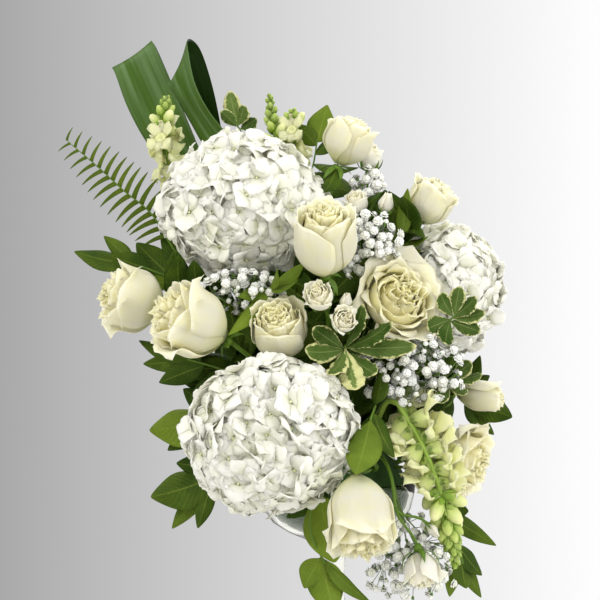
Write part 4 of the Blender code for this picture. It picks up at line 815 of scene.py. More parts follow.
def smooth_way(points, steps):
    """Points along a smooth curve through a few places."""
    points = [Vector(point) for point in points]
    ends = [points[0] * 2 - points[1]] + points + [points[-1] * 2 - points[-2]]
    way = []
    for index in range(1, len(ends) - 2):
        a, b, c, d = ends[index - 1:index + 3]
        for step in range(steps):
            t = step / steps
            way.append(0.5 * ((2 * b) + (c - a) * t + (2 * a - 5 * b + 4 * c - d) * t ** 2
                              + (3 * b - a - 3 * c + d) * t ** 3))
    way.append(points[-1])
    return way


def place_along(way, share, last=0.999):
    """Point and direction at a share of the way, or at the last share that is allowed."""
    spot = min(share, last) * (len(way) - 1)
    index = min(int(spot), len(way) - 2)
    return way[index].lerp(way[index + 1], spot - index), (way[index + 1] - way[index]).normalized()


def tapered(line, ends):
    """Radii along a line that go evenly from one end's to the other's."""
    return np.linspace(*ends, len(line))


def stretched(way, sizes):
    """Vector with each of its parts taken times a size."""
    return Vector([part * size for part, size in zip(way, sizes)])


def frame_at(base, axis, spin=0.0):
    """Matrix that stands z on an axis at a place, turned about it."""
    turn = UP.rotation_difference(Vector(axis).normalized()).to_matrix().to_4x4()
    return Matrix.Translation(Vector(base)) @ turn @ Matrix.Rotation(spin, 4, "Z")


def placed(grid, matrix):
    """Grid of points in another frame."""
    matrix = np.array(matrix)
    return grid @ matrix[:3, :3].T + matrix[:3, 3]


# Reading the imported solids

def cad_corners(node):
    """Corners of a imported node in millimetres, each once, and the corners that each shares an edge with."""
    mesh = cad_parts[node].data
    numbers = {}
    corners = []
    own = []
    for vert in mesh.vertices:
        key = tuple(vert.co)
        if key not in numbers:
            numbers[key] = len(corners)
            corners.append(vert.co / MM)
        own.append(numbers[key])
    links = [set() for _ in corners]
    for edge in mesh.edges:
        start, end = (own[index] for index in edge.vertices)
        links[start].add(end)
        links[end].add(start)
    return corners, links


def stem_line(node, last):
    """Middle line of a stem from the foam to its last point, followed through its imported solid's rings."""
    corners, links = cad_corners(node)
    ring = sorted(range(len(corners)), key=lambda index: (corners[index] - FOAM_CENTRE).length)[:STEM_SIDES]
    seen = set(ring)
    line = []
    last = Vector(last)
    while len(ring) == STEM_SIDES:
        middle = sum((corners[index] for index in ring), Vector()) / STEM_SIDES
        left = (middle - last).length
        if line and (middle - line[-1]).dot(last - line[-1]) < 0.0 and left < STEM_END_NEAR:
            break
        line.append(middle)
        if left < STEM_END_REACHED:
            break
        ring = [index for index in set().union(*(links[index] for index in ring)) if index not in seen]
        seen.update(ring)
    if (line[-1] - last).length > STEM_END_REACHED / 2.0:
        line.append(last)
    return line


def add_stem(patch, node, places, radii, material, sides=8):
    """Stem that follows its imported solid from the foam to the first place, and on through the others."""
    line = smooth_way(stem_line(node, places[0]) + [Vector(place) for place in places[1:]], 4)
    patch.tube(line, tapered(line, radii), material, sides)


def corner_tree(node):
    """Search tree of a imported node's corners, in millimetres."""
    corners, _ = cad_corners(node)
    tree = KDTree(len(corners))
    for index, corner in enumerate(corners):
        tree.insert(corner, index)
    tree.balance()
    return tree


def in_bloom(point, margin=3.0):
    """Whether a place is within a hydrangea head or a rose."""
    for centre, halves, _ in HYDRANGEAS.values():
        away = point - Vector(centre)
        if Vector([part / (half + margin) for part, half in zip(away, halves)]).length < 1.0:
            return True
    for base, axis, length, radius, _ in ROSES.values():
        away = point - Vector(base)
        along = away.dot(Vector(axis).normalized())
        if -margin < along < length + margin and (away.length ** 2 - along ** 2) < (radius + margin) ** 2:
            return True
    return False


# Florets and leaflets that repeat

def strewing():
    """Node tree that puts the pieces of a collection on a mesh's spots and keeps the rest of the mesh."""
    if "strewing" in bpy.data.node_groups:
        return bpy.data.node_groups["strewing"]
    tree = bpy.data.node_groups.new("strewing", "GeometryNodeTree")
    sockets = {"Geometry": "Geometry", "Pieces": "Collection", "Size": "Float", "Seed": "Int",
               "Material": "Material"}
    for name, kind in sockets.items():
        tree.interface.new_socket(name, in_out="INPUT", socket_type=f"NodeSocket{kind}")
    tree.interface.new_socket("Geometry", in_out="OUTPUT", socket_type="NodeSocketGeometry")
    given = add_node(tree, "NodeGroupInput").outputs
    marks = {}
    for name, kind in (("spot", "BOOLEAN"), ("turn", "FLOAT_VECTOR"), ("size", "FLOAT"), ("kind", "INT")):
        mark = add_node(tree, "GeometryNodeInputNamedAttribute", {"Name": name}, data_type=kind)
        marks[name] = mark.outputs[0]
    parts = add_node(tree, "GeometryNodeSeparateGeometry", {
        "Geometry": given["Geometry"], "Selection": marks["spot"]})
    pieces = add_node(tree, "GeometryNodeCollectionInfo", {
        "Collection": given["Pieces"], "Separate Children": True, "Reset Children": True})
    turned = add_node(tree, "FunctionNodeEulerToRotation", {0: marks["turn"]})
    scale = add_node(tree, MATH, {0: marks["size"], 1: given["Size"]}, operation="MULTIPLY")
    strewn = add_node(tree, "GeometryNodeInstanceOnPoints", {
        "Points": parts.outputs[0], "Instance": pieces.outputs[0], "Pick Instance": True,
        "Instance Index": marks["kind"], "Rotation": turned.outputs[0], "Scale": scale.outputs[0]})
    shade = add_node(tree, "FunctionNodeRandomValue", {"Seed": given["Seed"]}, data_type="FLOAT")
    shaded = add_node(tree, "GeometryNodeStoreNamedAttribute", {
        "Geometry": strewn.outputs[0], "Name": "shade", "Value": shade.outputs[1]},
        data_type="FLOAT", domain="INSTANCE")
    real = add_node(tree, "GeometryNodeRealizeInstances", {0: shaded.outputs[0]})
    finished = add_node(tree, "GeometryNodeSetMaterial", {
        "Geometry": real.outputs[0], "Material": given["Material"]})
    joined = add_node(tree, "GeometryNodeJoinGeometry", {0: parts.outputs[1]})
    tree.links.new(finished.outputs[0], joined.inputs[0])
    add_node(tree, "NodeGroupOutput", {0: joined.outputs[0]})
    return tree


def strew(host, patches, material, seed):
    """Put florets on a host object's spots and return the plain object that results."""
    pieces = bpy.data.collections.new("pieces")
    templates = [patch.make(f"piece_{number}") for number, patch in enumerate(patches)]
    for template in templates:
        bpy.context.scene.collection.objects.unlink(template)
        pieces.objects.link(template)
    modifier = host.modifiers.new("strewing", "NODES")
    modifier.node_group = strewing()
    given = {"Pieces": pieces, "Size": 1.0, "Seed": seed, "Material": finishes()[material]}
    for item in modifier.node_group.interface.items_tree:
        if item.in_out == "INPUT" and item.name in given:
            modifier[item.identifier] = given[item.name]
    host.update_tag()
    evaluated = host.evaluated_get(bpy.context.evaluated_depsgraph_get())
    mesh = bpy.data.meshes.new_from_object(evaluated)
    host.modifiers.remove(modifier)
    name = host.name
    for used in [host] + templates:
        bpy.data.objects.remove(used, do_unlink=True)
    bpy.data.collections.remove(pieces)
    for spare in ("spot", "turn", "size", "kind"):
        if spare in mesh.attributes:
            mesh.attributes.remove(mesh.attributes[spare])
    mesh.shade_smooth()
    return in_scene(name, mesh)


def settle(thing, slot, *nodes):
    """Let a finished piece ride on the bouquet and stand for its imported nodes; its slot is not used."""
    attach(thing, "root")
    if nodes:
        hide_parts(*nodes)
    return thing


# Roses

def petal_grid(length, radius, flare, share, angle, rng, rows=13, columns=15):
    """Cupped rose petal: share goes from 0 at the heart to 1 outside, and the lip rolls back as it opens."""
    up = np.linspace(0.0, 1.0, rows)[:, None] ** 0.85
    across = np.linspace(-1.0, 1.0, columns)[None, :]
    foot = radius * (0.05 + 0.17 * share)
    belly = radius * (0.14 + 0.84 * share ** 0.85)
    lip = belly * (0.52 + (0.34 + 0.52 * flare) * share ** 1.8)
    top = length * (0.975 + rng.uniform(-0.03, 0.02) - (0.05 + 0.24 * flare) * share ** 1.6)
    closing = np.clip((up - 0.5) / 0.5, 0.0, 1.0)
    closing = closing ** 2 * (3.0 - 2.0 * closing)
    out = foot + (belly - foot) * np.sin(np.pi / 2.0 * np.minimum(up / 0.5, 1.0)) ** 0.85
    out = out + (lip - belly) * closing
    edge = np.clip((up - 0.68) / 0.32, 0.0, 1.0)
    roll = radius * (0.06 + 0.30 * flare * rng.uniform(0.6, 1.3)) * share ** 2 * edge ** 2
    spread = math.radians(104.0 - 48.0 * share)
    spread = spread * (0.5 + 0.5 * np.sin(np.pi / 2.0 * np.minimum(up / 0.55, 1.0)))
    spread = spread * (1.0 - 0.15 * edge ** 2)
    wave = np.sin(across * rng.uniform(3.0, 5.5) + rng.uniform(*ANY_ANGLE))
    wave = wave + 0.8 * np.sin(across * rng.uniform(8.0, 12.0) + rng.uniform(*ANY_ANGLE))
    wave = wave + 0.45 * edge * np.sin(across * rng.uniform(16.0, 22.0) + rng.uniform(*ANY_ANGLE))
    ruffle = radius * (0.078 - 0.040 * share + 0.02 * flare) * edge ** 1.3
    out = out * (1.0 + 0.05 * across) + roll * (0.4 + 0.9 * across ** 2) + ruffle * wave
    height = top * (0.03 + 0.97 * up) - 0.12 * top * edge * np.abs(across) ** 3.2
    height = height - roll * (0.2 + 0.9 * across ** 2) + ruffle * wave * 0.6
    height = height + 0.025 * length * share * edge ** 2 * (1.0 - across ** 2) ** 2
    turn = angle + across * spread
    return np.stack([out * np.cos(turn), out * np.sin(turn), height], axis=-1)


def heart_grid(length, radius, rng):
    """Tightly rolled sheet at the middle of a rose."""
    turns = np.linspace(0.0, 2.0 * math.pi * 2.6, 54)[None, :]
    up = np.linspace(0.0, 1.0, 7)[:, None]
    wound = turns / turns.max()
    out = radius * (0.02 + 0.15 * wound) * (1.06 - 0.28 * up ** 2)
    height = length * (0.35 + (0.57 + 0.02 * wound) * up) + radius * 0.03 * up * np.sin(turns * 2.3)
    start = rng.uniform(*ANY_ANGLE)
    return np.stack([out * np.cos(turns + start), out * np.sin(turns + start), height], axis=-1)


def add_rose(patch, matrix, length, radius, flare, petals, thickness, material, rng):
    """Rolled heart and petals that grow wider and open further outwards."""
    patch.sheet(placed(heart_grid(length, radius, rng), matrix), thickness, material, tone=0.0)
    for index in range(petals):
        share = (index + 1) / petals
        angle = index * GOLDEN_ANGLE + rng.uniform(-0.12, 0.12)
        grid = petal_grid(length, radius, flare, share, angle, rng)
        patch.sheet(placed(grid, matrix), thickness, material, tone=share)


def add_calyx(patch, seat, axis, radius, length, sepal, material, rng, belly=None):
    """Cup under a bloom and narrow sepals, bent back or, given the bloom's belly, laid along its petals."""
    outline = [(0.0, -length), (radius * 0.55, -length), (radius * 0.98, -length * 0.55),
               (radius * 1.05, -length * 0.2), (radius * 0.8, 0.0), (0.0, 0.4)]
    points, faces, uvs = turned_body(outline, 12)
    patch.add(placed(points, frame_at(seat, axis)), faces, uvs, 0.0, material)
    for index in range(CALYX_SEPALS):
        out = square_to(axis, index * 2.0 * math.pi / CALYX_SEPALS + rng.uniform(-0.2, 0.2))
        foot = seat - axis * length * 0.2 + out * radius * 0.6
        tip = foot + out * sepal * 0.62 + axis * sepal * rng.uniform(-0.75, 0.1)
        arch = 0.12
        if belly is not None:
            tip = foot + out * (belly * 1.05 - radius * 0.6) + axis * sepal * rng.uniform(0.75, 1.0)
            arch = -0.22
        grid = leaf_grid(foot, tip, sepal * 0.30, out.cross(axis), 0.2, arch, 7, 5, narrow_outline)
        patch.sheet(grid, SEPAL_THICKNESS, material)


def build_roses(sizes):
    """The ten blooms, each on its own calyx and stem."""
    thickness = sizes.petal_thickness / MM
    for number, (name, (base, axis, length, radius, flare)) in enumerate(ROSES.items()):
        rng = random.Random(number * 19 + 4)
        axis = Vector(axis).normalized()
        petals = sizes.rose_petals if radius > SMALL_ROSE_RADIUS else sizes.rose_petals * 2 // 3
        bloom = Patchwork("rose_petal")
        matrix = frame_at(base, axis, number * 0.7)
        add_rose(bloom, matrix, length, radius, flare, petals, thickness, "rose_petal", rng)
        settle(bloom.make(f"{name}_bloom"), "rose", name)
        seat = Vector(base) - axis * 0.3
        stalk = Patchwork("green_stem")
        add_stem(stalk, f"{name}_stem", [seat - axis * CALYX_LENGTH], ROSE_STALK, "green_stem")
        add_calyx(stalk, seat, axis, CALYX_RADIUS, CALYX_LENGTH, CALYX_SEPAL, "green_stem", rng)
        settle(stalk.make(f"{name}_stalk"), "stem", f"{name}_stem")


def bent(start, start_way, end, end_way, steps=6):
    """Smooth way between two places that leaves and arrives along given directions."""
    reach = (end - start).length * 0.4
    points = []
    for step in range(steps + 1):
        t = step / steps
        points.append((1 - t) ** 3 * start + 3 * (1 - t) ** 2 * t * (start + start_way * reach)
                      + 3 * (1 - t) * t ** 2 * (end - end_way * reach) + t ** 3 * end)
    return points


def add_bud(patch, base, axis, length, radius, thickness, material, rng):
    """Closed bud: a few petals wrapped tightly to a point."""
    for index in range(SPRAY_BUD_PETALS):
        angle = index * GOLDEN_ANGLE
        share = 0.55 + 0.45 * index / (SPRAY_BUD_PETALS - 1)
        grid = petal_grid(length * 1.02, radius * 0.95, 0.0, share, angle, rng, 8, 7)
        shrink = 1.0 - 0.55 * np.clip((grid[:, :, 2:] / length - 0.45) / 0.55, 0.0, 1.0)
        grid = np.concatenate([grid[:, :, :2] * shrink, grid[:, :, 2:]], axis=2)
        patch.sheet(placed(grid, frame_at(base, axis)), thickness, material, tone=0.6)


def build_spray_roses(sizes):
    """Sprays of small roses and buds on forked stems."""
    thickness = sizes.petal_thickness / MM
    for number, (name, (way, blooms)) in enumerate(SPRAY_ROSES.items()):
        rng = random.Random(number * 23 + 9)
        fork = Vector(way[1])
        along = (fork - Vector(way[0])).normalized()
        patch = Patchwork("spray_petal", "green_stem")
        add_stem(patch, name, way, SPRAY_STALK, "green_stem")
        for base, axis, length, radius in blooms:
            base = Vector(base)
            axis = Vector(axis).normalized()
            branch = bent(fork - along, along, base - axis, axis)
            patch.tube(branch, tapered(branch, SPRAY_BRANCH), "green_stem", 6)
            cup = max(radius * 0.26, 1.9)
            add_calyx(patch, base, axis, cup, radius * 0.45, radius * 1.1, "green_stem", rng, radius)
            if radius > SMALLEST_BLOOM:
                add_rose(patch, frame_at(base, axis, rng.uniform(0.0, 6.0)), length, radius, SPRAY_FLARE,
                         sizes.spray_petals, thickness, "spray_petal", rng)
            else:
                add_bud(patch, base, axis, length, radius, thickness, "spray_petal", rng)
        settle(patch.make(f"{name}_spray"), "spray_rose", name)


# Hydrangeas

def hydrangea_floret(seed):
    """Four broad, overlapping, ruffled sepals round a small bead."""
    rng = random.Random(seed)
    patch = Patchwork("hydrangea_sepal")
    along = np.linspace(0.04, 1.0, 5)[:, None] ** 0.8
    across = np.linspace(-1.0, 1.0, 5)[None, :]
    cup = rng.uniform(0.15, 0.45)
    for index in range(4):
        angle = index * math.pi / 2.0 + rng.uniform(-0.2, 0.2)
        length = SEPAL_LENGTH * rng.uniform(0.85, 1.12)
        half = SEPAL_WIDTH / 2.0 * np.maximum(np.sin(np.pi * along ** 0.85 * 0.93), 0.0) ** 0.55 + 0.4
        bend = cup + rng.uniform(-0.2, 0.2)
        x = length * along * (1.0 - 0.18 * across ** 2 * along)
        y = half * across
        z = length * (bend * along ** 1.5 - 0.30 * along ** 4) + (1.2 if index % 2 else 0.0)
        wave = rng.uniform(0.04, 0.09)
        z = z + wave * length * along * np.sin(across * rng.uniform(2.5, 5.0) + rng.uniform(*ANY_ANGLE))
        z = z + rng.uniform(-0.12, 0.16) * length * across ** 2 * along
        grid = np.stack([x, y, z], axis=-1)
        patch.sheet(placed(grid, Matrix.Rotation(angle, 4, "Z")), FLORET_THICKNESS, "hydrangea_sepal")
    patch.turned([(0.0, -0.5), (1.4, 0.6), (1.0, 2.0), (0.0, 2.4)], 5, "hydrangea_sepal", tone=1.0)
    return patch


def head_spots(patch, name, count, level, rng):
    """Spread florets evenly over a head, each tilted and turned a little by chance."""
    centre, halves, axis = HYDRANGEAS[name]
    turn = UP.rotation_difference(Vector(axis).normalized()).to_matrix()
    for index in range(count):
        height = 1.0 - 2.0 * (index + 0.5) / count
        if height < -math.cos(STALK_OPENING):
            continue
        flat = math.sqrt(1.0 - height ** 2)
        swing = index * GOLDEN_ANGLE + rng.uniform(-0.08, 0.08)
        way = turn @ Vector((flat * math.cos(swing), flat * math.sin(swing), height))
        lift = level * rng.uniform(*HEAD_LIFT)
        place = Vector(centre) + stretched(way, halves) * lift
        facing = Vector([part / half for part, half in zip(way, halves)]).normalized()
        tilt = Vector([rng.gauss(0.0, HEAD_TILT) for _ in range(3)])
        matrix = frame_at(place, facing + tilt, rng.uniform(*ANY_ANGLE))
        patch.spot(matrix, rng.uniform(*HEAD_SIZES), rng.randrange(FLORET_KINDS))


def build_hydrangeas(sizes):
    """The three heads, each a cloud of florets round a pale middle, and their stalks."""
    for number, (name, (centre, halves, axis)) in enumerate(HYDRANGEAS.items()):
        rng = random.Random(number * 29 + 3)
        patch = Patchwork("head_depth", "hydrangea_sepal")
        arc = np.linspace(0.0, math.pi, 16)
        points, faces, uvs = turned_body(np.stack([np.sin(arc), -np.cos(arc)], axis=1) * HEAD_MIDDLE, 24)
        points = placed(points, frame_at((0.0, 0.0, 0.0), axis)) * np.array(halves) + np.array(centre)
        patch.add(points, faces, uvs, 0.0, "head_depth")
        share = (halves[0] * halves[2]) / LARGE_HEAD
        for part, level in HEAD_LAYERS:
            head_spots(patch, name, int(sizes.florets * share * part), level, rng)
        florets = [hydrangea_floret(seed) for seed in range(FLORET_KINDS)]
        head = strew(patch.make(f"{name}_florets"), florets, "hydrangea_sepal", number)
        settle(head, "hydrangea", f"{name}_head")
        seat = Vector(centre) - stretched(Vector(axis).normalized(), halves) * 0.9
        stalk = Patchwork("green_stem")
        add_stem(stalk, f"{name}_stalk", [seat], HYDRANGEA_STALK, "green_stem")
        settle(stalk.make(f"{name}_stem"), "stem", f"{name}_stalk")


# Snapdragons

def lobe_grid(start, up, length, width, back, rng):
    """Frilled lobe of a lip that starts at a place, widens and rolls back."""
    along = np.linspace(0.0, 1.0, 6)[:, None, None]
    across = np.linspace(-1.0, 1.0, 8)[None, :, None]
    side = np.array(UP.cross(up).normalized())
    half = width / 2.0 * (0.40 + 0.60 * np.sin(np.pi * np.minimum(along ** 0.8 * 0.72, 1.0)))
    frill = np.sin(across * rng.uniform(4.0, 6.0) + rng.uniform(*ANY_ANGLE))
    wave = 0.12 * length * along ** 1.5 * frill
    rise = length * (np.sin(along * 1.5) * 0.95 - 0.42 * along ** 2 * across ** 2) + 0.4 * wave
    reach = length * (0.75 * along - back * along ** 2.5 + 0.22 * along * across ** 2) + wave
    return np.array(start) + np.array(up) * rise + np.array(UP) * reach + side * across * half


def snapdragon_open(seed):
    """Open floret along z: calyx, puffed tube, raised throat, a hood of two lobes and a lip of three."""
    rng = random.Random(seed)
    skin = "snapdragon_floret"
    patch = Patchwork(skin)
    add_floret_calyx(patch, 6.5, 4.2)
    points, faces, uvs = turned_body(FLORET_TUBE, 12)
    turn = np.arctan2(points[:, 1], points[:, 0])
    crinkle = 1.0 + 0.07 * np.sin(turn * 4.0 + seed) * np.clip(points[:, 2] / 8.0, 0.0, 1.0)
    swell = np.stack([crinkle * 0.92, crinkle * 1.08, np.ones(len(points))], axis=1)
    tone = 0.20 + 0.40 * np.clip(points[:, 2] / 14.0, 0.0, 1.0)
    patch.add(points * swell, faces, uvs, tone, skin)
    points, faces, uvs = turned_body(FLORET_PALATE, 8)
    patch.add(points * (1.15, 0.7, 1.0) + (0.0, -2.8, 12.0), faces, uvs, 0.84, skin)
    for start, up, length, width, back in FLORET_LOBES:
        lobe = lobe_grid(start, Vector(up).normalized(), length, width, back, rng)
        patch.sheet(lobe, SEPAL_THICKNESS, skin, tone=0.68)
    return patch


def add_floret_calyx(patch, reach, width):
    """Five green sepals that hold a snapdragon floret or bud."""
    for index in range(CALYX_SEPALS):
        angle = index * 2.0 * math.pi / CALYX_SEPALS
        out = Vector((math.cos(angle), math.sin(angle), 0.0))
        foot = UP * 0.4 + out * 1.5
        tip = UP * reach + out * width
        grid = leaf_grid(foot, tip, width, out.cross(UP), 0.2, -0.1, 5, 4, narrow_outline)
        patch.sheet(grid, FLORET_THICKNESS, "snapdragon_floret", tone=0.0)


def snapdragon_bud(seed, ripeness, reach):
    """Closed bud along z in its calyx, paler and further out of it as it ripens."""
    skin = "snapdragon_floret"
    patch = Patchwork(skin)
    rng = random.Random(seed)
    fat = rng.uniform(0.95, 1.10)
    outline = [(0.0, 0.0), (2.2, 0.6), (4.2 * fat, 4.0), (5.3 * fat, 8.5), (4.7 * fat, 12.5), (2.7, 16.2),
               (0.0, BUD_LENGTH)]
    points, faces, uvs = turned_body(outline, 9)
    height = points[:, 2] / BUD_LENGTH
    cleft = 1.0 - 0.22 * np.sin(np.pi * height) * (np.abs(points[:, 0]) < 2.0)
    squeeze = np.stack([np.full(len(points), 0.88), cleft, np.ones(len(points))], axis=1)
    tone = 0.06 + ripeness * np.clip(height, 0.0, 1.0)
    patch.add(points * squeeze, faces, uvs, tone, skin)
    add_floret_calyx(patch, reach, 5.6)
    return patch


def snapdragon_bract():
    """Small pointed leaf along z, under a floret."""
    patch = Patchwork("snapdragon_floret")
    grid = leaf_grid(Vector(), UP * 8.0, 3.6, Vector((-1.0, 0.0, 0.0)), 0.3, 0.14, 6, 4, narrow_outline)
    patch.sheet(grid, FLORET_THICKNESS, "snapdragon_floret", tone=0.0)
    return patch


def bud_step(step):
    """Place, size and kind of a bud on a spike's budding end: a few ripe ones, then a tight green tip."""
    if step <= RIPE_BUDS:
        return 0.40 * step / RIPE_BUDS, 0.92 - 0.14 * step / RIPE_BUDS, 3
    green = (step - RIPE_BUDS) / (1.0 - RIPE_BUDS)
    return 0.40 + 0.60 * green, 0.68 - 0.40 * green, 4 if green < 0.3 else 5


def build_snapdragons():
    """Spikes of open florets below and ever smaller buds above, on their stalks."""
    for number, (name, spikes) in enumerate(SNAPDRAGONS.items()):
        patch = Patchwork("spike_stem", "snapdragon_floret")
        rng = random.Random(number * 37 + 8)
        for order, (places, florets, buds, open_share, largest) in enumerate(spikes):
            way = smooth_way(places, 6)
            if order == 0:
                line = smooth_way(stem_line(name, places[0]), 4)
                radii = list(tapered(line, SPIKE_STALK)) + list(tapered(way[1:], SPIKE_TOP))
                patch.tube(line + way[1:], radii, "spike_stem")
            else:
                patch.tube(way, tapered(way, SIDE_SPIKE), "spike_stem")
            for index in range(florets + buds):
                opened = index < florets
                if opened:
                    share = 0.04 + open_share * index / florets
                    size = largest * (1.0 - 0.18 * index / florets) / FLORET_SIZE
                else:
                    part, ripe, kind = bud_step((index - florets + 1) / buds)
                    share = open_share + (0.99 - open_share) * part
                    size = largest * ripe / BUD_SIZE
                spot, direction = place_along(way, share)
                out = square_to(direction, index * GOLDEN_ANGLE + order)
                if opened:
                    if name == HANGING_SPIKE:
                        out.y = abs(out.y) * 0.7
                    heading = (out + direction * 0.55 + UP * 0.15).normalized()
                    if in_bloom(spot + heading * largest * 0.6, -2.0):
                        continue
                    kind = rng.randrange(3)
                    bract = (out * 0.9 + direction * 0.2).normalized()
                    patch.spot(upright_frame(spot - direction * 2.5, bract, direction), size * 1.1, BRACT)
                    patch.spot(upright_frame(spot, heading, UP), size, kind)
                else:
                    heading = (out + direction * (0.6 + 1.2 * part)).normalized()
                    patch.spot(upright_frame(spot, heading, direction), size, kind)
        pieces = [snapdragon_open(seed) for seed in (1, 2, 3)]
        pieces += [snapdragon_bud(*stage) for stage in BUD_STAGES]
        pieces.append(snapdragon_bract())
        spray = strew(patch.make(f"{name}_spike"), pieces, "snapdragon_floret", number)
        settle(spray, "snapdragon", name)


def upright_frame(place, heading, upward):
    """Matrix whose z is a heading and whose y leans towards an upward direction."""
    side = upward.cross(heading).normalized()
    upper = heading.cross(side).normalized()
    turn = Matrix((side, upper, heading)).transposed().to_4x4()
    return Matrix.Translation(place) @ turn


# Baby's breath

def breath_flower(seed, rings, size):
    """Double flower: small closed petals in rings round a crowded heart, over a green cup."""
    rng = random.Random(seed)
    patch = Patchwork("breath_petal")
    skin = "breath_petal"
    patch.turned([(0.0, -2.6), (0.9, -2.2), (1.4, -0.8), (1.1, 0.0), (0.0, 0.2)], 5, skin, tone=1.0)
    heart = size * 0.45
    dome = [(0.0, 0.2), (heart, 0.9), (heart, 2.3), (heart * 0.6, 3.3), (0.0, 3.5)]
    patch.turned(dome, 6, skin, tone=0.08)
    for ring, (count, lean, reach) in enumerate(rings):
        for index in range(count):
            angle = index * 2.0 * math.pi / count + ring * 0.5 + rng.uniform(-0.15, 0.15)
            out = Vector((math.cos(angle), math.sin(angle), 0.0))
            side = out.cross(UP)
            heading = (out * math.sin(lean) + UP * math.cos(lean)).normalized()
            face = heading.cross(side)
            foot = UP * (-0.4 + 0.3 * ring)
            half = size * reach * 0.55
            middle = foot + heading * size * reach * 0.72
            tip = foot + heading * size * reach + face * 0.5
            points = [foot, middle - side * half, middle + side * half, tip, middle - face * 0.5]
            faces = [(0, 2, 1), (1, 2, 3), (0, 1, 4), (1, 3, 4), (3, 2, 4), (2, 0, 4)]
            patch.add(points, faces, [(0.5, 0.0)] * 5, 0.0, skin)
    return patch


def build_babys_breath():
    """Clouds of tiny double flowers on threads from forked stalks."""
    kinds = [
        breath_flower(1, [(7, 1.40, 1.0), (6, 0.95, 1.0), (5, 0.45, 0.95)], 4.7),
        breath_flower(2, [(7, 1.50, 1.0), (6, 1.05, 1.0), (4, 0.50, 0.90)], 4.3),
        breath_flower(3, [(5, 0.70, 0.9), (3, 0.25, 0.8)], 3.4),
    ]
    for number, (name, (root, middle, halves, flowers)) in enumerate(BABYS_BREATH.items()):
        rng = random.Random(number * 41 + 2)
        root = Vector(root)
        middle = Vector(middle)
        patch = Patchwork("breath_stem", "breath_petal")
        add_stem(patch, name, [root], BREATH_STALK, "breath_stem", 6)
        joints = []
        for index in range(BREATH_BRANCHES):
            angle = index * GOLDEN_ANGLE
            out = math.sqrt((index + 0.5) / BREATH_BRANCHES) * 0.7
            end = middle + Vector((halves[0] * out * math.cos(angle), halves[1] * 0.1,
                                   halves[2] * out * math.sin(angle)))
            branch = bent(root, (middle - root).normalized(), end, (end - root).normalized())
            patch.tube(branch, tapered(branch, BREATH_BRANCH), "breath_stem", 5)
            joints += branch[2:]
        made = []
        for _ in range(flowers * BREATH_TRIES):
            if len(made) == flowers:
                break
            spot = Vector([rng.uniform(-1.0, 1.0) for _ in range(3)])
            if spot.length > 1.0:
                continue
            place = middle + stretched(spot, halves)
            if in_bloom(place) or any((place - other).length < BREATH_SPACING for other in made):
                continue
            joint = min(joints, key=lambda near: (near - place).length)
            heading = (place - joint).normalized()
            facing = (heading + Vector((0.0, -0.35, 0.2))).normalized()
            thread = bent(joint, heading, place - facing * 2.0, facing, 3)
            patch.tube(thread, tapered(thread, BREATH_THREAD), "breath_stem", 4)
            kind = 2 if rng.random() < BREATH_HALF_OPEN else rng.randrange(2)
            patch.spot(frame_at(place, facing, rng.uniform(0.0, 6.0)), rng.uniform(0.88, 1.12), kind)
            made.append(place)
        cloud = strew(patch.make(f"{name}_cloud"), kinds, "breath_petal", number)
        settle(cloud, "breath", name)


# Leaves

def oval_outline(share):
    """Half width of a broad leaf along its length: short stalk, full middle, drawn-out tip."""
    body = np.clip((share - 0.07) / 0.93, 0.0, 1.0)
    return 0.05 + 0.95 * np.sin(np.pi * body ** 0.86) ** 0.85 * (1.0 - 0.10 * body)


def narrow_outline(share):
    """Half width of a narrow pointed leaf along its length."""
    return 0.06 + 0.94 * np.sin(np.pi * np.clip(share, 0.0, 1.0) ** 0.8)


def blunt_outline(share):
    """Half width of a leaf that is widest beyond its middle and toothed towards its tip."""
    body = np.clip((share - 0.05) / 0.95, 0.0, 1.0)
    teeth = 0.10 * np.clip((share - 0.5) / 0.3, 0.0, 1.0) * np.sin(share * 75.0)
    return 0.07 + 0.93 * np.sin(np.pi * body ** 1.2) ** 0.75 * (1.0 + teeth)


# Outline of each kind of leaf, and how deep and how often its edge waves
OUTLINES = {"broad": oval_outline, "ruscus": narrow_outline, "pittosporum": blunt_outline}
WAVES = {"broad": (0.05, 2.0), "ruscus": (0.04, 1.5), "pittosporum": (0.15, 4.0)}


def leaf_grid(base, tip, width, side, fold, arch, rows, columns, outline, wave=(0.0, 0.0), phase=0.0):
    """Leaf blade as a grid: folded along its midrib, arched, with its edge waved."""
    base, tip, side = Vector(base), Vector(tip), Vector(side).normalized()
    direction = (tip - base).normalized()
    length = (tip - base).length
    normal = np.array(side.cross(direction).normalized())
    share = np.linspace(0.0, 1.0, rows)[:, None, None]
    across = np.linspace(-1.0, 1.0, columns)[None, :, None]
    half = width / 2.0 * outline(share)
    ripple = wave[0] * half * across ** 2 * np.sin(2.0 * math.pi * wave[1] * share + phase + across)
    lift = arch * length * np.sin(math.pi * share) + fold * half * np.abs(across) ** 1.3 + ripple
    midrib = np.array(base) + np.array(direction) * length * share
    return midrib + np.array(side) * half * across + normal * lift


def leaf_frame(direction, roll):
    """Way across a leaf whose upper face looks to the front and up."""
    square = (LEAF_FACING - direction * LEAF_FACING.dot(direction)).normalized()
    normal = (Matrix.Rotation(roll, 3, direction) @ square).normalized()
    return direction.cross(normal)


def found_tip(tree, base, tip):
    """Where a packed leaf's tip is, and how far it reaches, among the poses that it may have."""
    for reach in TIP_REACHES:
        for shift in TIP_SHIFTS:
            end = base + (Vector(tip) + Vector(shift) - base) * reach
            if tree.find(end)[2] < TIP_FOUND:
                return end, reach
    return None, 0.0


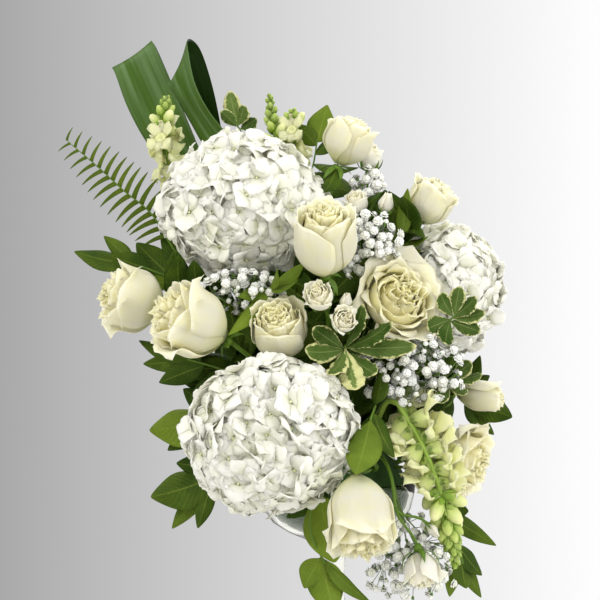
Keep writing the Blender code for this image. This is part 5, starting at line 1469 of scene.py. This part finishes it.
def build_sprigs():
    """Leafy twigs: each leaf lies where its packed leaf does."""
    for name, (kind, places, leaves) in SPRIGS.items():
        tree = corner_tree(name)
        rough = smooth_way(places, 2)
        skin = f"{kind}_skin"
        under = "broad_under" if kind != "pittosporum" else "pittosporum_skin"
        patch = Patchwork(skin, "green_stem", "broad_under")
        add_stem(patch, name, places, TWIG_RADII[kind], "green_stem", 6)
        for number, (share, tip, width, tint) in enumerate(leaves):
            base, _ = place_along(rough, share, LAST_SHARE)
            end, reach = found_tip(tree, base, tip)
            if end is None:
                continue
            rng = random.Random(number * 13 + 5)
            side = leaf_frame((end - base).normalized(), rng.uniform(-0.5, 0.5))
            grid = leaf_grid(base, end, width * (0.55 + 0.55 * reach), -side, LEAF_FOLD, LEAF_ARCH,
                             25, 9, OUTLINES[kind], WAVES[kind], rng.uniform(*ANY_ANGLE))
            patch.sheet(grid, LEAF_THICKNESS, skin, under, tone=tint)
        settle(patch.make(f"{name}_leaves"), kind, name)


def build_stem_leaves(sizes):
    """Leaves that grow on the stems of the large flowers and fill the dark between the heads."""
    patch = Patchwork("broad_skin", "broad_under")
    rng = random.Random(77)
    length = sizes.stem_leaf_length / MM
    lowest, stretch = STEM_LEAF_STRETCH
    carriers = [(f"{name}_stem", base) for name, (base, *_) in ROSES.items()]
    carriers += [(f"{name}_stalk", centre) for name, (centre, *_) in HYDRANGEAS.items()]
    for node, last in carriers:
        line = smooth_way(stem_line(node, last), 6)
        reach = sum((b - a).length for a, b in zip(line, line[1:]))
        count = int(reach / STEM_LEAF_SPACING)
        for index in range(count):
            spot, direction = place_along(line, lowest + stretch * index / max(count, 1))
            size = length * rng.uniform(*STEM_LEAF_SIZES)
            for attempt in range(STEM_LEAF_TRIES):
                angle = (index + attempt * 0.37) * GOLDEN_ANGLE + rng.uniform(-0.4, 0.4)
                heading = (square_to(direction, angle) + direction * 0.7).normalized()
                tip = spot + heading * size
                if leaf_clear(spot, tip):
                    break
            else:
                continue
            side = leaf_frame(heading, rng.uniform(-0.9, 0.9))
            grid = leaf_grid(spot, tip, size * STEM_LEAF_WIDTH, -side, LEAF_FOLD, STEM_LEAF_ARCH, 11, 7,
                             oval_outline, STEM_LEAF_WAVE, rng.uniform(*ANY_ANGLE))
            patch.sheet(grid, LEAF_THICKNESS, "broad_skin", "broad_under", tone=rng.uniform(0.0, 0.12))
    settle(patch.make("stem_leaves"), "broad")


def leaf_clear(spot, tip):
    """Whether a leaf on a stem keeps clear of the blooms and their faces, inside the bouquet's outline."""
    low, high = STEM_LEAF_ROOM
    if not all(least < part < most for least, part, most in zip(low, tip, high)):
        return False
    middles = [(Vector(centre), min(halves)) for centre, halves, _ in HYDRANGEAS.values()]
    middles += [(Vector(base) + Vector(axis) * length / 2.0, radius)
                for base, axis, length, radius, _ in ROSES.values()]
    for part in (0.4, 0.7, 1.0):
        place = spot.lerp(tip, part)
        if in_bloom(place, 2.0):
            return False
        if any(place.y < middle.y and (place - middle).xz.length < reach for middle, reach in middles):
            return False
    return True


def build_aspidistras():
    """The two broad blades, folded over at the top, on their stalks."""
    for name, rows in ASPIDISTRAS.items():
        centres = np.array(smooth_way([centre for centre, _, _ in rows], 6))
        sides = np.array([way.normalized() for way in smooth_way([side for _, side, _ in rows], 6)])
        widths = [place.x for place in smooth_way([(half, 0, 0) for _, _, half in rows], 6)]
        halves = np.array(widths)[:, None, None]
        across = np.linspace(-1.0, 1.0, 11)[None, :, None]
        normals = np.cross(sides, np.gradient(centres, axis=0))
        normals /= np.linalg.norm(normals, axis=1, keepdims=True)
        rise = 0.10 * halves * (across ** 2 - 0.4) + 0.05 * np.cos(across * 11.0 * math.pi)
        grid = centres[:, None] + sides[:, None] * halves * across + normals[:, None] * rise
        patch = Patchwork("blade_skin", "blade_inner", "green_stem")
        # The inner face under the fold wears the painted shade.
        patch.sheet(grid, ASPIDISTRA_THICKNESS, "blade_skin", "blade_inner")
        add_stem(patch, name, [rows[0][0], rows[1][0]], ASPIDISTRA_STALK, "green_stem")
        settle(patch.make(f"{name}_blade"), "aspidistra", name)


def build_fern():
    """Sword fern frond: curved narrow leaflets in pairs along a thin rib."""
    way = smooth_way(FERN_WAY, 6)
    patch = Patchwork("green_stem", "fern_skin")
    line = smooth_way(stem_line("fern", FERN_WAY[0]), 4) + way[1:]
    patch.tube(line, tapered(line, FERN_RIB), "green_stem", 6)
    for index in range(FERN_PAIRS):
        share = FERN_START + (0.99 - FERN_START) * index / (FERN_PAIRS - 1)
        start, along = place_along(way, share)
        across = along.cross(TO_VIEWER).normalized()
        size = min(1.0, 0.8 + share) * (1.0 - 0.55 * share ** 3)
        for kind, hand in enumerate((-1.0, 1.0)):
            heading = (across * hand * 0.93 + along * (0.30 + 0.25 * share)).normalized()
            patch.spot(upright_frame(start + along * hand * 2.0, heading, TO_VIEWER), size, kind)
    leaflets = []
    for hand in (-1.0, 1.0):
        leaflet = Patchwork("fern_skin")
        share = np.linspace(0.0, 1.0, 9)[:, None]
        across = np.linspace(-1.0, 1.0, 5)[None, :]
        half = 2.5 * (1.0 - share) ** 0.7 * (0.95 + 0.4 * share) + 0.12
        bend = -hand * 7.0 * share ** 1.8
        rise = 0.5 * np.abs(across) + 1.2 * np.sin(math.pi * share) - 0.8 * share
        grid = np.stack([half * across + bend, rise, FERN_PINNA * share + 0.0 * across], axis=-1)
        leaflet.sheet(grid, FLORET_THICKNESS, "fern_skin")
        leaflets.append(leaflet)
    frond = strew(patch.make("fern_frond"), leaflets, "fern_skin", 5)
    settle(frond, "fern", "fern")


# Bowl, foam and stage

def build_bowl():
    """Footed bowl turned with a round section."""
    patch = Patchwork("clear_glass")
    patch.turned(BOWL_OUTSIDE + BOWL_INSIDE, ROUND_STEPS, "clear_glass")
    settle(patch.make("bowl_glass"), "glass", "bowl")


def build_foam():
    """Domed block of wet foam."""
    patch = Patchwork("wet_foam")
    patch.turned(FOAM_OUTLINE, ROUND_STEPS, "wet_foam")
    settle(patch.make("foam_block"), "foam", "foam")


def build_stage(sizes):
    """Camera, soft lights, a pale table top and a backdrop colour that goes from grey to white."""
    scene = bpy.context.scene
    scene.view_settings.view_transform = "Standard"
    lens = bpy.data.cameras.new("camera")
    lens.sensor_width = SENSOR_MM
    lens.lens = SENSOR_MM * CAMERA_DISTANCE / IMAGE_WIDTH_MM
    camera = in_scene("camera", lens)
    camera.location = Vector((CAMERA_AIM[0], -CAMERA_DISTANCE, CAMERA_AIM[1])) * MM
    camera.rotation_euler = Euler((math.pi / 2.0, 0.0, 0.0))
    scene.camera = camera
    patch = Patchwork("table_top")
    radius = sizes.floor_radius / MM
    outline = [(0.0, -TABLE_THICKNESS), (radius, -TABLE_THICKNESS), (radius, -TABLE_BEVEL),
               (radius - TABLE_BEVEL, 0.0), (0.0, 0.0)]
    patch.turned(outline, TABLE_STEPS, "table_top")
    floor = patch.make("table_top")
    for name, (place, size, power) in LIGHTS.items():
        light = bpy.data.lights.new(name, "AREA")
        light.size = size
        light.energy = power
        lamp = in_scene(name, light)
        lamp.location = place
        lamp.rotation_euler = (LIGHT_AIM - Vector(place)).to_track_quat("-Z", "Y").to_euler()
    world = bpy.data.worlds.new("studio")
    scene.world = world
    world.use_nodes = True
    light_the_room(world.node_tree)


def light_the_room(tree):
    """Show the backdrop to the camera, and give everything else an even light room."""
    direction = add_node(tree, "ShaderNodeTexCoord").outputs["Generated"]
    sideways = add_node(tree, "ShaderNodeSeparateXYZ", {0: direction}).outputs["X"]
    half_view = IMAGE_WIDTH_MM / 2.0 / CAMERA_DISTANCE
    across = add_node(tree, RANGE, {0: sideways, 1: -half_view, 2: half_view})
    left, right = (linear(code) for code in BACKDROP)
    backdrop = add_node(tree, MIX, {0: across, 6: left, 7: right}, data_type="RGBA")
    rays = add_node(tree, "ShaderNodeLightPath").outputs
    seen = rays["Is Camera Ray"]
    colour = add_node(tree, MIX, {0: seen, 6: linear(ROOM), 7: backdrop}, data_type="RGBA")
    mirrored = add_node(tree, MATH, {0: rays["Is Glossy Ray"], 1: rays["Is Transmission Ray"]},
                        operation="SUBTRACT", use_clamp=True)
    strength = add_node(tree, RANGE, {0: seen, 3: ROOM_STRENGTH, 4: BACKDROP_STRENGTH})
    strength = add_node(tree, MATH, {0: mirrored, 1: MIRROR_DIMMING, 2: strength}, operation="MULTIPLY_ADD")
    shader = tree.nodes["Background"]
    tree.links.new(colour.outputs[2], shader.inputs["Color"])
    tree.links.new(strength.outputs["Value"], shader.inputs["Strength"])


# Operators and panel

class BOUQUET_OT_bowl(bpy.types.Operator):
    """Add the footed glass bowl and the foam in it"""

    bl_idname = "bouquet.bowl"
    bl_label = "Bowl and foam"

    def execute(self, context):
        build_bowl()
        build_foam()
        return {"FINISHED"}


class BOUQUET_OT_hydrangeas(bpy.types.Operator):
    """Add the three hydrangea heads on their stalks"""

    bl_idname = "bouquet.hydrangeas"
    bl_label = "Hydrangeas"

    def execute(self, context):
        build_hydrangeas(context.scene.bouquet_sizes)
        return {"FINISHED"}


class BOUQUET_OT_roses(bpy.types.Operator):
    """Add the ten roses on their stems"""

    bl_idname = "bouquet.roses"
    bl_label = "Roses"

    def execute(self, context):
        build_roses(context.scene.bouquet_sizes)
        return {"FINISHED"}


class BOUQUET_OT_spray_roses(bpy.types.Operator):
    """Add the three sprays of small roses"""

    bl_idname = "bouquet.spray_roses"
    bl_label = "Spray roses"

    def execute(self, context):
        build_spray_roses(context.scene.bouquet_sizes)
        return {"FINISHED"}


class BOUQUET_OT_snapdragons(bpy.types.Operator):
    """Add the three snapdragon stems"""

    bl_idname = "bouquet.snapdragons"
    bl_label = "Snapdragons"

    def execute(self, context):
        build_snapdragons()
        return {"FINISHED"}


class BOUQUET_OT_babys_breath(bpy.types.Operator):
    """Add the five sprays of baby's breath"""

    bl_idname = "bouquet.babys_breath"
    bl_label = "Baby's breath"

    def execute(self, context):
        build_babys_breath()
        return {"FINISHED"}


class BOUQUET_OT_sprigs(bpy.types.Operator):
    """Add the leafy twigs and the leaves on the flower stems"""

    bl_idname = "bouquet.sprigs"
    bl_label = "Leafy sprigs"

    def execute(self, context):
        build_sprigs()
        build_stem_leaves(context.scene.bouquet_sizes)
        return {"FINISHED"}


class BOUQUET_OT_blades(bpy.types.Operator):
    """Add the two folded blades and the fern frond"""

    bl_idname = "bouquet.blades"
    bl_label = "Blades and fern"

    def execute(self, context):
        build_aspidistras()
        build_fern()
        return {"FINISHED"}


class BOUQUET_OT_stage(bpy.types.Operator):
    """Add the camera, the lights and the table top"""

    bl_idname = "bouquet.stage"
    bl_label = "Stage"

    def execute(self, context):
        build_stage(context.scene.bouquet_sizes)
        return {"FINISHED"}


PIECE_OPERATORS = (
    BOUQUET_OT_bowl, BOUQUET_OT_hydrangeas, BOUQUET_OT_roses, BOUQUET_OT_spray_roses, BOUQUET_OT_snapdragons,
    BOUQUET_OT_babys_breath, BOUQUET_OT_sprigs, BOUQUET_OT_blades, BOUQUET_OT_stage,
)


class BOUQUET_PT_sidebar(bpy.types.Panel):
    """Buttons for the pieces, and the sizes and colours that they use"""

    bl_label = "Bouquet"
    bl_space_type = "VIEW_3D"
    bl_region_type = "UI"
    bl_category = "Bouquet"

    def draw(self, context):
        for group in (context.scene.bouquet_sizes, context.scene.bouquet_colours):
            column = self.layout.column()
            for name in group.__annotations__:
                column.prop(group, name)
        for piece in PIECE_OPERATORS:
            self.layout.operator(piece.bl_idname)


CLASSES = (BouquetSizes, BouquetColours) + PIECE_OPERATORS + (BOUQUET_PT_sidebar,)


def register():
    """Make the properties, operators and panel known."""
    for part in CLASSES:
        bpy.utils.register_class(part)
    bpy.types.Scene.bouquet_sizes = PointerProperty(type=BouquetSizes)
    bpy.types.Scene.bouquet_colours = PointerProperty(type=BouquetColours)


def unregister():
    """Take them away again."""
    del bpy.types.Scene.bouquet_colours
    del bpy.types.Scene.bouquet_sizes
    for part in reversed(CLASSES):
        bpy.utils.unregister_class(part)


def main():
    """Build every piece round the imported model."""
    register()
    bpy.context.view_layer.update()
    for piece in PIECE_OPERATORS:
        group, name = piece.bl_idname.split(".")
        getattr(getattr(bpy.ops, group), name)()


if __name__ == "__main__":
    main()
